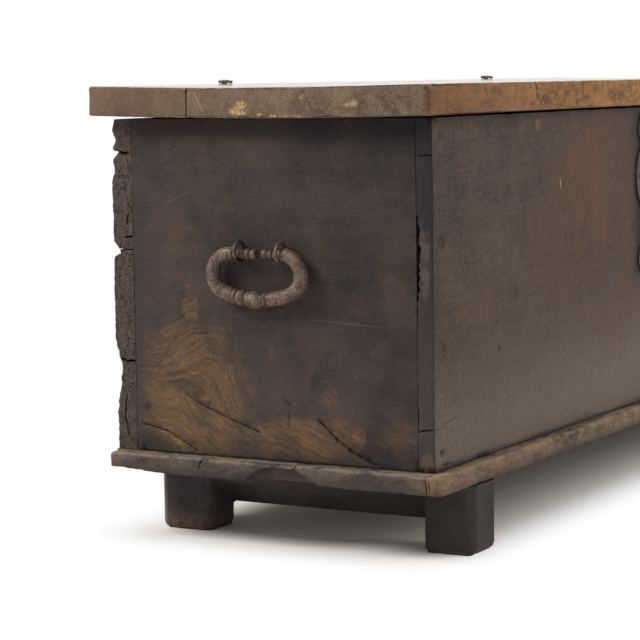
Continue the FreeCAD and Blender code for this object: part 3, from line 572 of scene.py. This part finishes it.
# painted floor-bounce light and sheen: the lower front made paler, unevenly
painted_low_sheen = (wood.z + (wood.clouds - 0.5) * 0.16 - wood.x * 0.1).ease(0.17, -0.02)
wood.lay(wood.shaded(wall_sheen_pale, wood.dust.spread(1.2)), painted_low_sheen * 0.75)
red_streaks = wood.blotches(0.34, 0.56, 0.02, 4, 0.6, (1, 1, 3), 3)
red_places = (((0.414, 0.35), (0.028, 0.03), 0.7), ((0.472, 0.364), (0.034, 0.034), 0.7),
              ((0.496, 0.312), (0.032, 0.05), 1.0), ((0.512, 0.255), (0.026, 0.04), 0.8),
              ((0.47, 0.31), (0.1, 0.1), 0.4))
red = wood.patches(wood.x, wood.z, red_places)
wood.lay(wall_red, red * red_streaks * 0.9)
warm = wood.patch(wood.x, wood.z, (0.56, 0.3), (0.34, 0.24), 0.0)
warm = warm * wood.clouds.ease(0.3, 0.55)
wood.lay(wall_warm, warm * 0.75)
smear = (wood.noise(0.045, 3, 0.6, seed=8) - 0.5) * 0.05
middle = (low.x + high.x) / 2
halo_x = abs(wood.x - middle) + smear
halo = halo_x.ease(0.078, 0.058) * (wood.z + smear).ease(0.16, 0.19)
halo = halo.most(halo_x.ease(0.09, 0.062) * (wood.z + smear * 2).ease(0.34, 0.37))
wood.lay(wall_stain_and_shade, halo * 0.8)
scratches = wood.blotches(0.62, 0.72, 0.0013, 2, 0.5, (1, 1, 24), 12)
specks = wood.noise(0.0026, 3, 0.8, (1.6, 1, 1), 46)
light_specks = specks.ease(0.57, 0.66).most(scratches * 0.8)
wood.lay(shade(136, 120, 106), light_specks * 0.35)
wood.lay(shade(46, 39, 36), specks.ease(0.42, 0.34) * 0.4)
worms = wood.dots(0.009, seed=2).ease(0.13, 0.09)
eaten = wood.blotches(0.63, 0.67, 0.06, 2, 0.5, seed=14)
eaten = eaten.most(wood.patch(wood.x, wood.z, (0.043, 0.245), (0.022, 0.022)))
worm_holes = worms * eaten
wood.lay(hole_dark, worm_holes)
# a short pale streak on the front
pale_streak = wood.stroke(wood.x, wood.z, (0.371, 0.333), (0.3745, 0.318), 0.0012)
wood.lay(shade(206, 182, 140), pale_streak)
spot = wood.patch(wood.x, wood.z, (0.3017, 0.4022), (0.01, 0.009)) * wood.dust.ease(0.4, 0.6)
wood.lay(wall_gold, spot * 0.4)
knot_places = (((0.181, 0.129), (0.0065, 0.005), 1.0), ((0.344, 0.237), (0.004, 0.003), 1.0),
               ((0.021, 0.022), (0.004, 0.004), 1.0), ((0.032, 0.008), (0.018, 0.006), 1.0))
knots = wood.patches(wood.x, wood.z, knot_places)
wood.lay(shade(30, 25, 23), knots * (wood.dust + wood.fibre).ease(0.92, 1.06))
# painted shade along the foot of the front board, where it meets the moulding
wood.tint(1.0 - wood.z.ease(0.0035, 0.001) * 0.6)
sawn = end_grain(wood, 0, low, high)
strip = wood.blend(shade(40, 37, 41), shade(60, 53, 53), wood.z.ease(0.3, 0.1))
flake = wood.patch(wood.y, wood.z, (0.011, 0.255), (0.0085, 0.062))
flake = flake * wood.bands.ease(0.38, 0.55)
strip = wood.blend(strip, shade(92, 76, 72), flake * 0.7)
scuffed = wood.patch(wood.y, wood.z, (0.01, 0.01), (0.011, 0.016))
strip = wood.blend(strip, shade(104, 82, 62), scuffed * 0.6)
wood.lay(wood.shaded(strip, wood.dust.spread(0.8)), sawn * 0.9)
inside = wood.y.ease(high.y - 0.003, high.y - 0.001) * wood.x.ease(0.031, 0.034)
left_bare(wood, inside)
# more painted shade, uneven, along the lowest centimetre above the moulding
painted_joint_shade = (wood.z + (wood.bands - 0.5) * 0.01).ease(0.01, 0.001)
wood.lay(wall_stain_and_shade, painted_joint_shade * 0.6)
dress(front_board, wood.done(wood.rough, wood.height - worm_holes * 1.5, 0.0006))

# back planks, their left ends gnawed: how far the edge has gone, by height
gnawed = ((0.0, 0.002), (0.03, 0.003), (0.049, 0.002), (0.069, 0.005), (0.083, 0.009), (0.09, 0.004),
          (0.11, 0.009), (0.116, 0.007), (0.139, 0.001), (0.228, 0.001), (0.244, 0.002), (0.251, 0.009),
          (0.262, 0.001), (0.29, 0.002), (0.34, 0.001), (0.357, 0.006), (0.37, 0.001), (0.375, 0.008),
          (0.38, 0.001), (0.391, 0.009), (0.405, 0.002), (0.4185, 0.007))


def gnawed_away(point, back):
    """How far the back edge has gone at a point, fading out along the plank and towards its inner half."""
    depth = gnawed[-1][1]
    for (z0, d0), (z1, d1) in zip(gnawed, gnawed[1:]):
        if z0 <= point.z < z1:
            depth = d0 + (d1 - d0) * (point.z - z0) / (z1 - z0)
    splinters = 0.0022
    mean_reach = 0.028
    inner_half = 0.022
    ragged = splinters * abs(noise.noise(Vector((point.x, 0, point.z)) / 0.004))
    reach = mean_reach + 0.02 * noise.noise(Vector((0, 3, point.z)) / 0.03)
    fade = max(0.0, 1 - point.x / reach)
    share = max(0.0, 1 - (back - point.y) / inner_half)
    return (depth + ragged) * fade ** 0.6 * share


rotten_dark = shade(64, 55, 51)
rotten_light = shade(90, 76, 69)
back_dark = shade(66, 57, 51)
back_light = shade(78, 66, 59)
back_checks = {"upper": (([(0.425, 0.3765), (0.436, 0.3755), (0.452, 0.378)], 0.004, 0.012, 8),
                         ([(0.422, 0.2712), (0.433, 0.2705)], 0.0036, 0.01, 9),
                         ([(0.428, 0.3), (0.43, 0.285)], 0.0022, 0.008, 10)),
               "lower": (([(0.421, 0.1145), (0.436, 0.112), (0.451, 0.1165)], 0.0034, 0.012, 11),
                         ([(0.437, 0.072), (0.44, 0.042), (0.434, 0.017)], 0.0024, 0.008, 12))}

for part, seed in (("upper", 6), ("lower", 7)):
    node = "back_board_" + part
    low, high = box(node)
    smooth_wear = hand_worn(low, high, 0.0012, 0.0006, 0.0003, seed)

    def back_wear(point, normal, planed=smooth_wear, back=high.y):
        pitted = 0.0012 * max(0.0, noise.noise(point / 0.004)) if point.x < 0.001 else 0.0
        return planed(point, normal) + normal * pitted + Vector((0, gnawed_away(point, back), 0))

    cuts = [end_check(*check) for check in back_checks[part]]
    lines = (rule(0.05, high.x, 0.03) + [0.001, 0.004, 0.009, 0.016, 0.026, 0.04], rule(low.y, high.y, 0.004),
             rule(low.z, high.z, 0.003))
    board = worn(node, lines, back_wear, cuts)
    wood = old_wood("back_board_finish_" + part, 0, back_dark, back_light, 50 + seed)
    inside = wood.y.ease(low.y + 0.003, low.y + 0.001) * wood.x.ease(0.031, 0.034)
    left_bare(wood, inside)
    crumbs = wood.noise(0.006, 5, 0.8, (1, 1, 1.8), 44)
    rotten = wood.blend(rotten_dark, rotten_light, crumbs.ease(0.36, 0.62))
    near_sawn = wood.x.least(high.x - wood.x).ease(0.006, 0.001)
    rotten = wood.shaded(rotten, wood.dust.spread(1.6))
    wood.lay(rotten, near_sawn)
    sawn = end_grain(wood, 0, low, high, shade(34, 28, 26), 0.002)
    bored = wood.dots(0.004, (1, 1, 1.3), 9).ease(0.34, 0.2)
    bored = bored * wood.blotches(0.42, 0.6, 0.012, 3, 0.6, (1, 1, 3), 45)
    wood.lay(hole_dark, bored * sawn * 0.75)
    dress(board, wood.done(wood.rough + 0.1, wood.height - bored * sawn, 0.0012))

# end boards; the left one is cut through a crotch, whose figure is golden where hands and knees rubbed it
end_dark = shade(48, 42, 41)
end_light = shade(68, 58, 54)
figure_brown = shade(86, 66, 50)
figure_gold = shade(119, 91, 58)
grain_fall = 0.42
rubbed_places = (((0.345, 0.125), (0.09, 0.058), 0.75), ((0.3, 0.097), (0.04, 0.03), 1.0),
                 ((0.335, 0.082), (0.11, 0.06), 0.7), ((0.338, 0.04), (0.105, 0.046), 0.95),
                 ((0.234, 0.026), (0.05, 0.028), 0.65), ((0.172, 0.028), (0.066, 0.036), 0.75),
                 ((0.14, 0.078), (0.011, 0.018), 0.9), ((0.124, 0.057), (0.013, 0.018), 0.9),
                 ((0.104, 0.036), (0.018, 0.018), 0.8), ((0.337, 0.185), (0.012, 0.04), 0.6),
                 ((0.221, 0.131), (0.009, 0.009), 0.7), ((0.348, 0.245), (0.034, 0.075), 0.16),
                 ((0.3, 0.38), (0.09, 0.026), 0.14), ((0.048, 0.04), (0.03, 0.034), 0.3),
                 ((0.172, 0.11), (0.01, 0.03), 0.3), ((0.05, 0.25), (0.03, 0.07), 0.2))
hill_line = ((0.4, 0.103), (0.377, 0.1194), (0.3675, 0.1401), (0.3539, 0.1495), (0.3389, 0.1564),
             (0.3153, 0.1623))
dark_places = (((0.345, 0.087), (0.018, 0.01), 0.45), ((0.326, 0.078), (0.014, 0.007), 0.5),
               ((0.406, 0.057), (0.008, 0.008), 0.9), ((0.402, 0.012), (0.034, 0.018), 0.5))
right_crack = ((0.1575, 0.0546), (0.1449, 0.0442), (0.1288, 0.0291), (0.1198, 0.0233), (0.1091, 0.0161),
               (0.0966, 0.0112), (0.0789, 0.0035))
middle_crack = ((0.3486, 0.0785), (0.3364, 0.0702), (0.321, 0.0622), (0.3057, 0.0571), (0.2867, 0.0494),
                (0.2715, 0.044), (0.2527, 0.038), (0.2377, 0.0331))
left_crack = ((0.414, 0.0346), (0.3924, 0.0312), (0.3727, 0.0264), (0.3552, 0.0175), (0.3378, 0.0087),
              (0.329, 0.004))
end_cracks = ((right_crack, 0.0032, 0.01), (middle_crack, 0.0017, 0.005), (left_crack, 0.002, 0.006),
              (((0.1981, 0.0641), (0.1971, 0.04)), 0.0016, 0.004))


def end_board_finish(name, low, high, face_x, figured):
    """Smoked oil finish of an end board, with the crotch's figure rubbed bright on the left one."""
    wood = old_wood(name, 1, end_dark, end_light, 71)
    drift = (wood.noise(0.06, 4, 0.6, seed=16) - 0.5) * 0.035
    hill = abs(wood.y - 0.295).ease(0.125, 0.0) * wood.z.ease(0.02, 0.15)
    across = wood.z - wood.y * grain_fall - hill * 0.07 + drift
    along = wood.y + wood.z * grain_fall
    broad = wood.flow(across, along, 0.0056, 0.055, 17)
    fine = wood.flow(across, along, 0.0019, 0.03, 18)
    # painted shadow of the lid's overhang, darkening the board towards its top
    painted_lid_shadow = (high.z - wood.z).ease(0.034, 0.012)
    shade_side = wood.y.ease(0.22, 0.07) * wood.z.ease(0.05, 0.2)
    wood.tint(fine.spread(0.5) * (0.89 - shade_side * 0.17))
    brown = wood.blotches(0.45, 0.64, 0.09, 5, 0.65, seed=15)
    wood.lay(shade(78, 62, 54), brown * 0.45)
    if figured:
        stray = (wood.noise(0.025, 5, 0.7, seed=20) - 0.5) * 0.05
        rubbed = wood.patches(wood.y + drift + stray, wood.z + drift - stray, rubbed_places)
        dark_side = (wood.y + stray * 0.1).ease(0.239, 0.234) * wood.z.ease(0.05, 0.062)
        rubbed = rubbed * (1.0 - dark_side * 0.7)
        streaked = broad * 0.45 + fine * 0.35 + wood.dust * 0.2
        gold = wood.blend(figure_brown, figure_gold, streaked.ease(0.36, 0.64))
        patchy = (wood.noise(0.035, 5, 0.65, seed=21) * 0.6 + broad * 0.4).ease(0.34, 0.58)
        gold = wood.shaded(gold, fine.spread(0.7) + (wood.dust - 0.5) * 0.8)
        wood.lay(gold, rubbed * (patchy * 0.6 + 0.4))
        veins = wood.flow(across, along, 0.006, 0.1, 19).ease(0.6, 0.7) * rubbed
        edge = wood.line(wood.y, wood.z, hill_line, 0.0013)
        wood.lay(shade(40, 33, 30), (veins * 0.35).most(edge * 0.7))
        knots = wood.patches(wood.y + drift * 0.3, wood.z, dark_places)
        wood.lay(shade(42, 38, 36), knots)
        nick = wood.stroke(wood.y, wood.z, (0.2065, 0.0785), (0.194, 0.0675), 0.0022)
        cracks = nick * 0.8
        for places, width, _ in end_cracks[:3]:
            cracks = cracks.most(wood.line(wood.y, wood.z, places, width * 0.75))
        wood.lay(shade(20, 18, 18), cracks)
        scratch = wood.stroke(wood.y, wood.z, (0.172, 0.1764), (0.062, 0.17), 0.0007)
        scratch = scratch.most(wood.stroke(wood.y, wood.z, (0.38, 0.31), (0.33, 0.331), 0.0007))
        wood.lay(shade(118, 96, 80), scratch * 0.5)
    # painted shade along the foot of the board where the moulding meets it; the next line also lays on the
    # painted lid shadow
    painted_crevice_shade = wood.z.ease(0.0035, 0.001)
    wood.tint((1.0 - painted_lid_shadow * 0.35) * (1.0 - painted_crevice_shade * 0.6))
    hem = wood.y.ease(high.y - 0.02, high.y - 0.002)
    wood.lay(shade(50, 48, 47), hem * 0.5)
    nicks = wood.dots(0.024, seed=6).ease(0.04, 0.028)
    specks = wood.blotches(0.58, 0.68, 0.0024, 3, 0.8, (1, 1.8, 1), 47)
    wood.lay(shade(124, 106, 94), (nicks * 0.5).most(specks * 0.22))
    inside = abs(wood.x - face_x).ease(0.03, 0.034)
    left_bare(wood, inside)
    return wood.done(wood.rough + 0.04, wood.height + fine * 0.5, 0.0006)


for side in ("left", "right"):
    node = "end_board_" + side
    low, high = box(node)
    checks = []
    if side == "left":
        checks = [end_check(*crack, seed) for seed, crack in enumerate(end_cracks, 13)]
    lines = grid(low, high, (0, 0.01, 0.01))
    board = worn(node, lines, hand_worn(low, high, 0.0008, 0.0004, 0.0003, 8), checks)
    face_x = low.x if side == "left" else high.x
    dress(board, end_board_finish("end_board_finish_" + side, low, high, face_x, side == "left"))


# ======================================== base moulding
# Strips of the same wood, rounded over on top, are nailed round the foot of the walls with headless
# forged nails. The front one runs past the corners, the end ones butt behind it. A long flake has split
# from the left one, and the arrises are rubbed to bare golden wood.

moulding_gold = shade(140, 112, 74)


def moulding_finish(name, along, low, high, tip, dark, light, gilded):
    """Smoked strip with its rounded top rubbed golden in places, most of all at the corner, and a painted
    highlight along its top arris.
    """
    wood = old_wood(name, along, dark, light, 81 + along)
    stretch = [2.2 if axis == along else 1 for axis in range(3)]
    rubbing = wood.noise(0.016, 6, 0.8, stretch, 18)
    top = wood.z.ease(low.z + 0.004, high.z - 0.003)
    gold = rubbing.ease(0.44, 0.6) * (top * 0.7 + 0.3) * gilded
    at_corner = wood.patch(wood.x, wood.y, tip, (0.055, 0.055), 0.0) * rubbing.ease(0.34, 0.56)
    worn_gold = wood.shaded(moulding_gold, wood.dust.spread(2.4))
    wood.lay(worn_gold, gold.most(at_corner * 0.4))
    stain = wood.blotches(0.5, 0.68, 0.022, 6, 0.75, stretch, 19)
    wood.lay(shade(42, 37, 38), stain * 0.6)
    low_side = wood.z.ease(low.z + 0.012, low.z + 0.002)
    wood.lay(shade(48, 42, 42), low_side * 0.4)
    # painted highlight along the rounded top arris, broken up by the rubbing
    lit = (high.z - wood.z).ease(0.005, 0.001) * rubbing.ease(0.4, 0.54)
    wood.lay(shade(150, 134, 116), lit * 0.55)
    end_grain(wood, along, low, high)
    return wood.done(wood.rough + 0.05, wood.height, 0.0009)


low, high = box("base_moulding_front")
left_tip = (low.x, low.y)
right_tip = (high.x, low.y)
front_tones = (shade(76, 65, 57), shade(116, 98, 82), 0.9)
end_tones = (shade(58, 52, 51), shade(88, 77, 71), 0.22)
lines = grid(low, high, (0.01, 0.005, 0.0045))
corner_check = end_check([(-0.0035, 0.0), (-0.005, -0.019)], 0.0012, 0.004, 17, low.x)
strip = worn("base_moulding_front", lines, hand_worn(low, high, 0.0035, 0.0009, 0.0005, 21), [corner_check])
dress(strip, moulding_finish("moulding_finish_front", 0, low, high, left_tip, *front_tones))
for side in ("left", "right"):
    low, high = box("base_moulding_" + side)
    lines = grid(low, high, (0.005, 0.006, 0.0045))
    checks = []
    if side == "left":
        face = low.x
        checks = [end_check([(0.3105, 0.001), (0.3128, -0.005), (0.3145, -0.014)], 0.0015, 0.006, 18, face),
                  split([(face + 0.012, 0.308, 0), (face + 0.001, 0.3105, 0)], 0.0014, 0.006, up, 19),
                  end_check([(0.178, 0.001), (0.18, -0.01)], 0.002, 0.008, 20, face),
                  split([(face + 0.016, 0.176, 0), (face + 0.001, 0.178, 0)], 0.0016, 0.008, up, 21)]
    strip = worn("base_moulding_" + side, lines, hand_worn(low, high, 0.0035, 0.0009, 0.0005, 22), checks)
    tip = left_tip if side == "left" else right_tip
    dress(strip, moulding_finish("moulding_finish_" + side, 1, low, high, tip, *end_tones))


# ======================================== lid
# Two thick planks lie side by side, a little cupped, and overhang the walls. Two bevelled battens nailed
# across underneath hold them. The lid is the part that hands touch, so it is the lightest: waxed on top,
# tan on the front arris, greyer on the sawn ends, with chips of bare golden wood along the lower arris.

lid_dark = shade(96, 70, 46)
lid_light = shade(140, 103, 70)
lid_end_dark = shade(78, 63, 50)
lid_end_light = shade(124, 102, 82)
lid_gold = shade(206, 170, 116)
lid_low = box("lid_plank_front")[0]
lid_high = box("lid_plank_rear")[1]
chips = (((0.2435, 0.4275), (0.017, 0.007), 1.0), ((0.24, 0.435), (0.01, 0.007), 0.8),
         ((0.214, 0.4232), (0.006, 0.0025), 0.9), ((0.193, 0.4222), (0.01, 0.0025), 0.8),
         ((0.17, 0.4216), (0.016, 0.0016), 0.7), ((0.086, 0.436), (0.008, 0.006), 0.7),
         ((0.096, 0.4345), (0.007, 0.003), 0.5), ((0.155, 0.444), (0.004, 0.004), 0.5))
front_stains = (((0.2975, 0.4335), (0.024, 0.01), 1.0), ((0.257, 0.4295), (0.01, 0.004), 0.7),
                ((0.313, 0.43), (0.012, 0.004), 0.7), ((0.543, 0.435), (0.034, 0.008), 0.8),
                ((0.514, 0.4385), (0.014, 0.005), 0.6), ((0.5865, 0.429), (0.016, 0.004), 0.6))


def lid_finish(name, low, high, front_plank):
    """Rubbed and waxed top and edges of a lid plank, its sawn ends greyer and speckled, a painted highlight
    along the lower arris.
    """
    wood = old_wood(name, 0, lid_dark, lid_light, 91 if front_plank else 95)
    inset = (wood.x - low.x).least(high.x - wood.x).least((wood.y - low.y).least(high.y - wood.y))
    flat_face = inset.ease(0.001, 0.0035)
    middle = (low.z + high.z) / 2
    waxed = wood.z.ease(middle, middle + 0.004) * flat_face
    mottle = wood.noise(0.011, 6, 0.75, (1.8, 1, 1), 20)
    sunned = mottle.ease(0.4, 0.6) * (0.4 + wood.x.ease(0.1, 0.55) * 0.35)
    sunned = sunned * (1.0 - waxed * 0.6) + waxed * 0.22
    specks = wood.noise(0.0026, 4, 0.8, (1.6, 1, 1), 48)
    tan = wood.shaded(shade(170, 114, 58), specks.spread(1.3))
    wood.lay(tan, sunned)
    handled = wood.x.ease(0.02, 0.22) * 0.14 + wood.x.ease(0.28, 0.55) * 0.08
    wood.tint(handled + 0.86)
    stain = wood.blotches(0.5, 0.68, 0.018, 6, 0.75, (2.4, 1, 1), 21)
    wood.lay(shade(74, 56, 42), stain * (0.55 - waxed * 0.38))
    if front_plank:
        dirty = wood.blotches(0.4, 0.56, 0.005, 4, 0.7, seed=23)
        smudge = wood.patches(wood.x, wood.z, front_stains) * dirty
        spot = wood.patch(wood.x, wood.z, (0.12, 0.4505), (0.003, 0.0018))
        crack = wood.line(wood.x, wood.z, ((0.27, 0.4575), (0.2715, 0.445), (0.276, 0.4335)), 0.003)
        wood.lay(shade(46, 35, 28), (smudge * 0.8).most(spot).most(crack * 0.9))
    sawn = abs(wood.x - lid_low.x).least(abs(wood.x - lid_high.x)).ease(0.0045, 0.002)
    speckle = wood.noise(0.0022, 5, 0.8, seed=24)
    cloudy = wood.noise(0.03, 5, 0.7, seed=28)
    grey = wood.blend(lid_end_dark, lid_end_light, (speckle * 0.55 + cloudy * 0.45).ease(0.38, 0.6))
    reddish = wood.y.ease(0.22, 0.36)
    grey = wood.blend(grey, shade(98, 74, 57), reddish * 0.55)
    wood.lay(grey, sawn)
    if front_plank:
        flecks = wood.blotches(0.44, 0.56, 0.0024, 5, 0.8, (1, 1, 1.8), 25)
        chipped = wood.patches(wood.y, wood.z, chips) * flecks * sawn
        wood.lay(lid_gold, chipped)
        scratch = wood.stroke(wood.y, wood.z, (0.308, 0.453), (0.293, 0.4265), 0.0009)
        wood.lay(shade(168, 150, 132), scratch * sawn * 0.6)
    # painted highlight along the lower arris, where light from below catches the rounded edge
    rims = wood.blotches(0.36, 0.5, 0.02, 3, 0.6, seed=26)
    low_down = wood.z.ease(high.z - 0.02, low.z + 0.01)
    painted_rim_highlight = wood.from_arris(low, high).ease(0.0024, 0.001) * low_down * rims
    wood.lay(shade(196, 172, 138), painted_rim_highlight * 0.6)
    under = wood.z.ease(middle, middle - 0.004) * flat_face
    left_bare(wood, under)
    height = (wood.height + sawn * speckle * 0.6) * (1.0 - waxed * 0.97)
    return wood.done(wood.rough - 0.02, height, 0.0006, polish=waxed)


for part in ("front", "rear"):
    node = "lid_plank_" + part
    low, high = box(node)
    lines = grid(low, high, (0.014, 0.006, 0.005), ([low.x + 0.002, low.x + 0.006], [], []))
    checks = []
    if part == "front":
        face = low.y
        checks = [end_check([(-0.0095, 0.456), (-0.0102, 0.4425), (-0.01, 0.4255)], 0.0016, 0.006, 22, low.x),
                  split([(0.27, face, 0.457), (0.2715, face, 0.445), (0.276, face, 0.434)],
                        0.0016, 0.007, front_out, 23),
                  split([(0.27, face + 0.002, high.z - 0.0025), (0.267, face + 0.05, high.z - 0.0035)],
                        0.0014, 0.006, up, 24)]
    seed = 31 if part == "front" else 33
    plank = worn(node, lines, hand_worn(low, high, 0.0024, 0.0016, 0.0001, seed), checks)
    dress(plank, lid_finish("lid_finish_" + part, low, high, part == "front"))
for side in ("left", "right"):
    low, high = box("lid_batten_" + side)
    lines = grid(low, high, (0.012, 0.015, 0))
    batten = worn("lid_batten_" + side, lines, hand_worn(low, high, 0.001, 0.0005, 0.0004, 35))
    wood = old_wood("batten_finish_" + side, 1, bare_dark, bare_light, 97)
    dress(batten, wood.done(wood.rough + 0.12, wood.height, 0.0007))


# ======================================== handles and hinges
# A smith drew each drop handle from one bar, with a barrel, collars and knobbed ends that turn in eye
# pins clinched inside the wall. The hinges are pairs of linked eyes. All of it is matt with fine rust.

rust_dark = shade(50, 41, 38)
rust_light = shade(108, 84, 66)
rust_bright = shade(182, 158, 138)
flat_depth = 0.0002
pit_depth = 0.0006
groove_depth = 0.0009
grip_height = 0.026
low, high = box("handle_left")
grip_middle = (low.y + high.y) / 2
grip_top = low.z + grip_height
grooves = [(grip_middle + place, width) for place, width in
           ((-0.0158, 0.0011), (-0.01, 0.0011), (0.0156, 0.0018), (0.0272, 0.0011), (0.0327, 0.0011))]


def coat(node, finish):
    """Gives its finish to a piece that keeps the maker's own shape."""
    for place in frame["nodes"][node].material_slots:
        place.material = finish


def forged(name, dark, light, bright, pits, seed, grooves=()):
    """Forged iron: scale and rust in clouds, pitted, small rubbed places brightened as painted highlights,
    grooves darkened with soil and painted shade.
    """
    iron = Finish(name)
    clouds = iron.noise(0.016, 5, 0.65, seed=seed)
    grit = iron.noise(0.0024, 4, 0.7, seed=seed + 1)
    pitted = iron.dots(0.0042, seed=seed + 2).ease(0.42, 0.22)
    iron.colour = iron.blend(dark, light, (clouds * 0.6 + grit * 0.4).ease(0.38, 0.58))
    # small rubbed places, brightened in colour as painted highlights
    rubbed_spots_and_highlights = grit.ease(0.56, 0.66) * clouds.ease(0.5, 0.62)
    iron.lay(bright, rubbed_spots_and_highlights * 0.7)
    iron.lay(iron.shaded(dark, 0.6), pitted * pits)
    # the upper bar near the pivots made darker
    at_pivots = abs(iron.y - grip_middle).ease(0.04, 0.026)
    upper_bar_darkened = at_pivots * iron.z.ease(grip_top + 0.016, grip_top + 0.022)
    iron.tint(1.0 - upper_bar_darkened * 0.35)
    # the grooves darkened: soil in them and painted shade
    for groove, width in grooves:
        groove_dirt_and_shade = abs(iron.y - groove).ease(width, width * 0.4)
        groove_dirt_and_shade = groove_dirt_and_shade * iron.z.ease(grip_top, grip_top - 0.002)
        iron.lay(iron.shaded(dark, 0.35), groove_dirt_and_shade * 0.85)
    rough = 0.52 - rubbed_spots_and_highlights * 0.2 + pitted * 0.1
    metal = rubbed_spots_and_highlights * 0.3
    height = clouds * 0.5 + grit * 0.5 - pitted * pits
    return iron.done(rough, height, 0.0005, 0.4, metal)


rusty_iron = forged("rusty_iron_finish", rust_dark, rust_light, rust_bright, 0.55, 111, grooves)


def hammered(point, normal):
    """How deep the hammer's flats, the rust's pits and the cut grooves of the grip go at a point of a bar."""
    flats = flat_depth * (0.5 + noise.noise(point / 0.011))
    pits = pit_depth * max(0.0, noise.noise(point / 0.003) - 0.3)
    cut = 0.0
    if point.z < grip_top:
        cut = max(groove_depth * max(0.0, 1 - abs(point.y - groove) / width) for groove, width in grooves)
    return normal * (flats + pits + cut)


for side in ("left", "right"):
    low, high = box("handle_" + side)
    beside_grooves = [groove + width * part for groove, width in grooves for part in (-1, 0, 1)]
    lines = grid(low, high, (0.003, 0.003, 0.003), ([], beside_grooves, []))
    handle = worn("handle_" + side, lines, hammered)
    dress(handle, rusty_iron)
    for kind in ("handle_eye_pins_", "back_hinge_eye_", "lid_hinge_eye_"):
        coat(kind + side, rusty_iron)


# ======================================== lock
# The lock plate is sheet iron cut to a disc with lobed ends and nailed on over the keyhole. Behind it sit
# an open case, a bolt with its leaf spring, and under the lid the staple that the bolt shoots through.
# The iron was blackened in oil, and has gone brown only where keys and hands rub it.

iron_dark = shade(34, 31, 31)
iron_light = shade(60, 54, 52)
iron_bright = shade(104, 92, 84)

black_iron = forged("black_iron_finish", iron_dark, iron_light, iron_bright, 0.35, 121)
for node in ("lock_plate", "lock_case", "lock_bolt", "lock_spring", "lid_staple"):
    coat(node, black_iron)


# ======================================== pegs and nails
# Square-cut pegs of the same dark wood pin the walls and the feet, and forged nails with small flat
# heads hold the moulding, the bottom, the battens and the ironwork. Peg ends are darker than the boards.

peg_finish = Finish("peg_finish")
rings = peg_finish.noise(0.0022, 4, 0.7, seed=131)
tone = peg_finish.noise(0.014, 4, 0.6, seed=132)
mixed = (rings * 0.5 + tone * 0.5).ease(0.38, 0.62)
peg_finish.colour = peg_finish.blend(shade(48, 40, 37), shade(84, 70, 61), mixed)
peg_wood = peg_finish.done(0.55 + rings * 0.2, rings, 0.0006)
for node in ("front_pegs", "back_pegs", "foot_pegs"):
    coat(node, peg_wood)

nail_iron = forged("nail_iron_finish", shade(40, 33, 31), shade(72, 58, 52), shade(110, 88, 76), 0.4, 141)
for kind in ("moulding", "bottom", "batten", "lock_plate", "lock_case", "staple"):
    coat(kind + "_nails", nail_iron)


# ======================================== studio
# Not part of the chest: a white floor that runs out to pure white, one lamp high at the back left, a
# broad one at the front right and the white room's own light, so that a colour shows about as it was
# mixed. The camera stands low, to the left.

tucked_in = 0.07
painted_bounce_reach = 0.1
shadow_reach = 0.12

bpy.ops.mesh.primitive_plane_add(size=60)
floor = bpy.context.object
floor.name = "studio_floor"
finish = Finish("studio_floor_paint")
rays = finish.node("LightPath")
half_length = (cad_high.x - cad_low.x) / 2 - tucked_in
half_depth = (cad_high.y - cad_low.y) / 2 - tucked_in
beside = (abs(finish.x - (cad_high.x + cad_low.x) / 2 + corner.x) - half_length).most(0.0)
before = (abs(finish.y - (cad_high.y + cad_low.y) / 2 + corner.y) - half_depth).most(0.0)
away = (beside * beside + before * before).root()
fibres = finish.blotches(0.4, 0.65, 0.03, 5, 0.7)
paper = finish.blend(shade(250, 249, 248), shade(244, 241, 238), fibres)
# painted bounce light: the floor close to the chest tinted warm, as if lit from the brown wood
paint = finish.blend(paper, shade(250, 244, 236), away.ease(painted_bounce_reach, 0.0))
matt = finish.node("BsdfDiffuse", {}, {"Color": paint})
white = finish.node("Emission", {}, {"Color": (1, 1, 1, 1), "Strength": 1.0})
clear = away.ease(0.0, shadow_reach) * rays.most(rays.other("Is Glossy Ray"))
fading = finish.node("MixShader", {}, {0: clear, 1: matt, 2: white})
finish.node("OutputMaterial", {}, {"Surface": fading})
floor.data.materials.append(finish.owner)

world = bpy.data.worlds.new("white_room")
bpy.context.scene.world = world
room = Finish("white_room", world)
rays = room.node("LightPath")
room_light = 0.46
straight = rays.most(rays.other("Is Glossy Ray")).most(rays.other("Is Transmission Ray"))
room_wall = room.node("Background", {},
                      {"Color": (1, 1, 1, 1), "Strength": room_light + straight * (1.0 - room_light)})
room.node("OutputWorld", {}, {"Surface": room_wall})


def soft_lamp(name, energy, size, direction, distance, mirrored):
    """A round diffused lamp that shines on the chest's left half, and may show mirrored in its polish."""
    lamp = bpy.data.lights.new(name, "AREA")
    lamp.shape = "DISK"
    lamp.size = size
    lamp.energy = energy
    stand = placed(name, lamp)
    stand.visible_glossy = mirrored
    aim = Vector((-0.5, 0, 0.3))
    stand.location = aim + Vector(direction).normalized() * distance
    stand.rotation_euler = (aim - stand.location).to_track_quat("-Z", "Y").to_euler()


soft_lamp("back_lamp", energy=78, size=1.3, direction=(-1, 1, 1.1), distance=3.2, mirrored=True)
soft_lamp("front_lamp", energy=46, size=2.5, direction=(0.3, -1, 0.6), distance=3.5, mirrored=False)

camera = bpy.data.cameras.new("camera")
camera.lens = 128.8
camera.sensor_width = 36
camera_stand = placed("camera", camera)
camera_stand.location = (-3.0827, -1.41715, 0.5779)
camera_stand.rotation_euler = [math.radians(turn) for turn in (83.926, 0.832, -60.626)]
bpy.context.scene.camera = camera_stand
bpy.context.scene.view_settings.view_transform = "Standard"
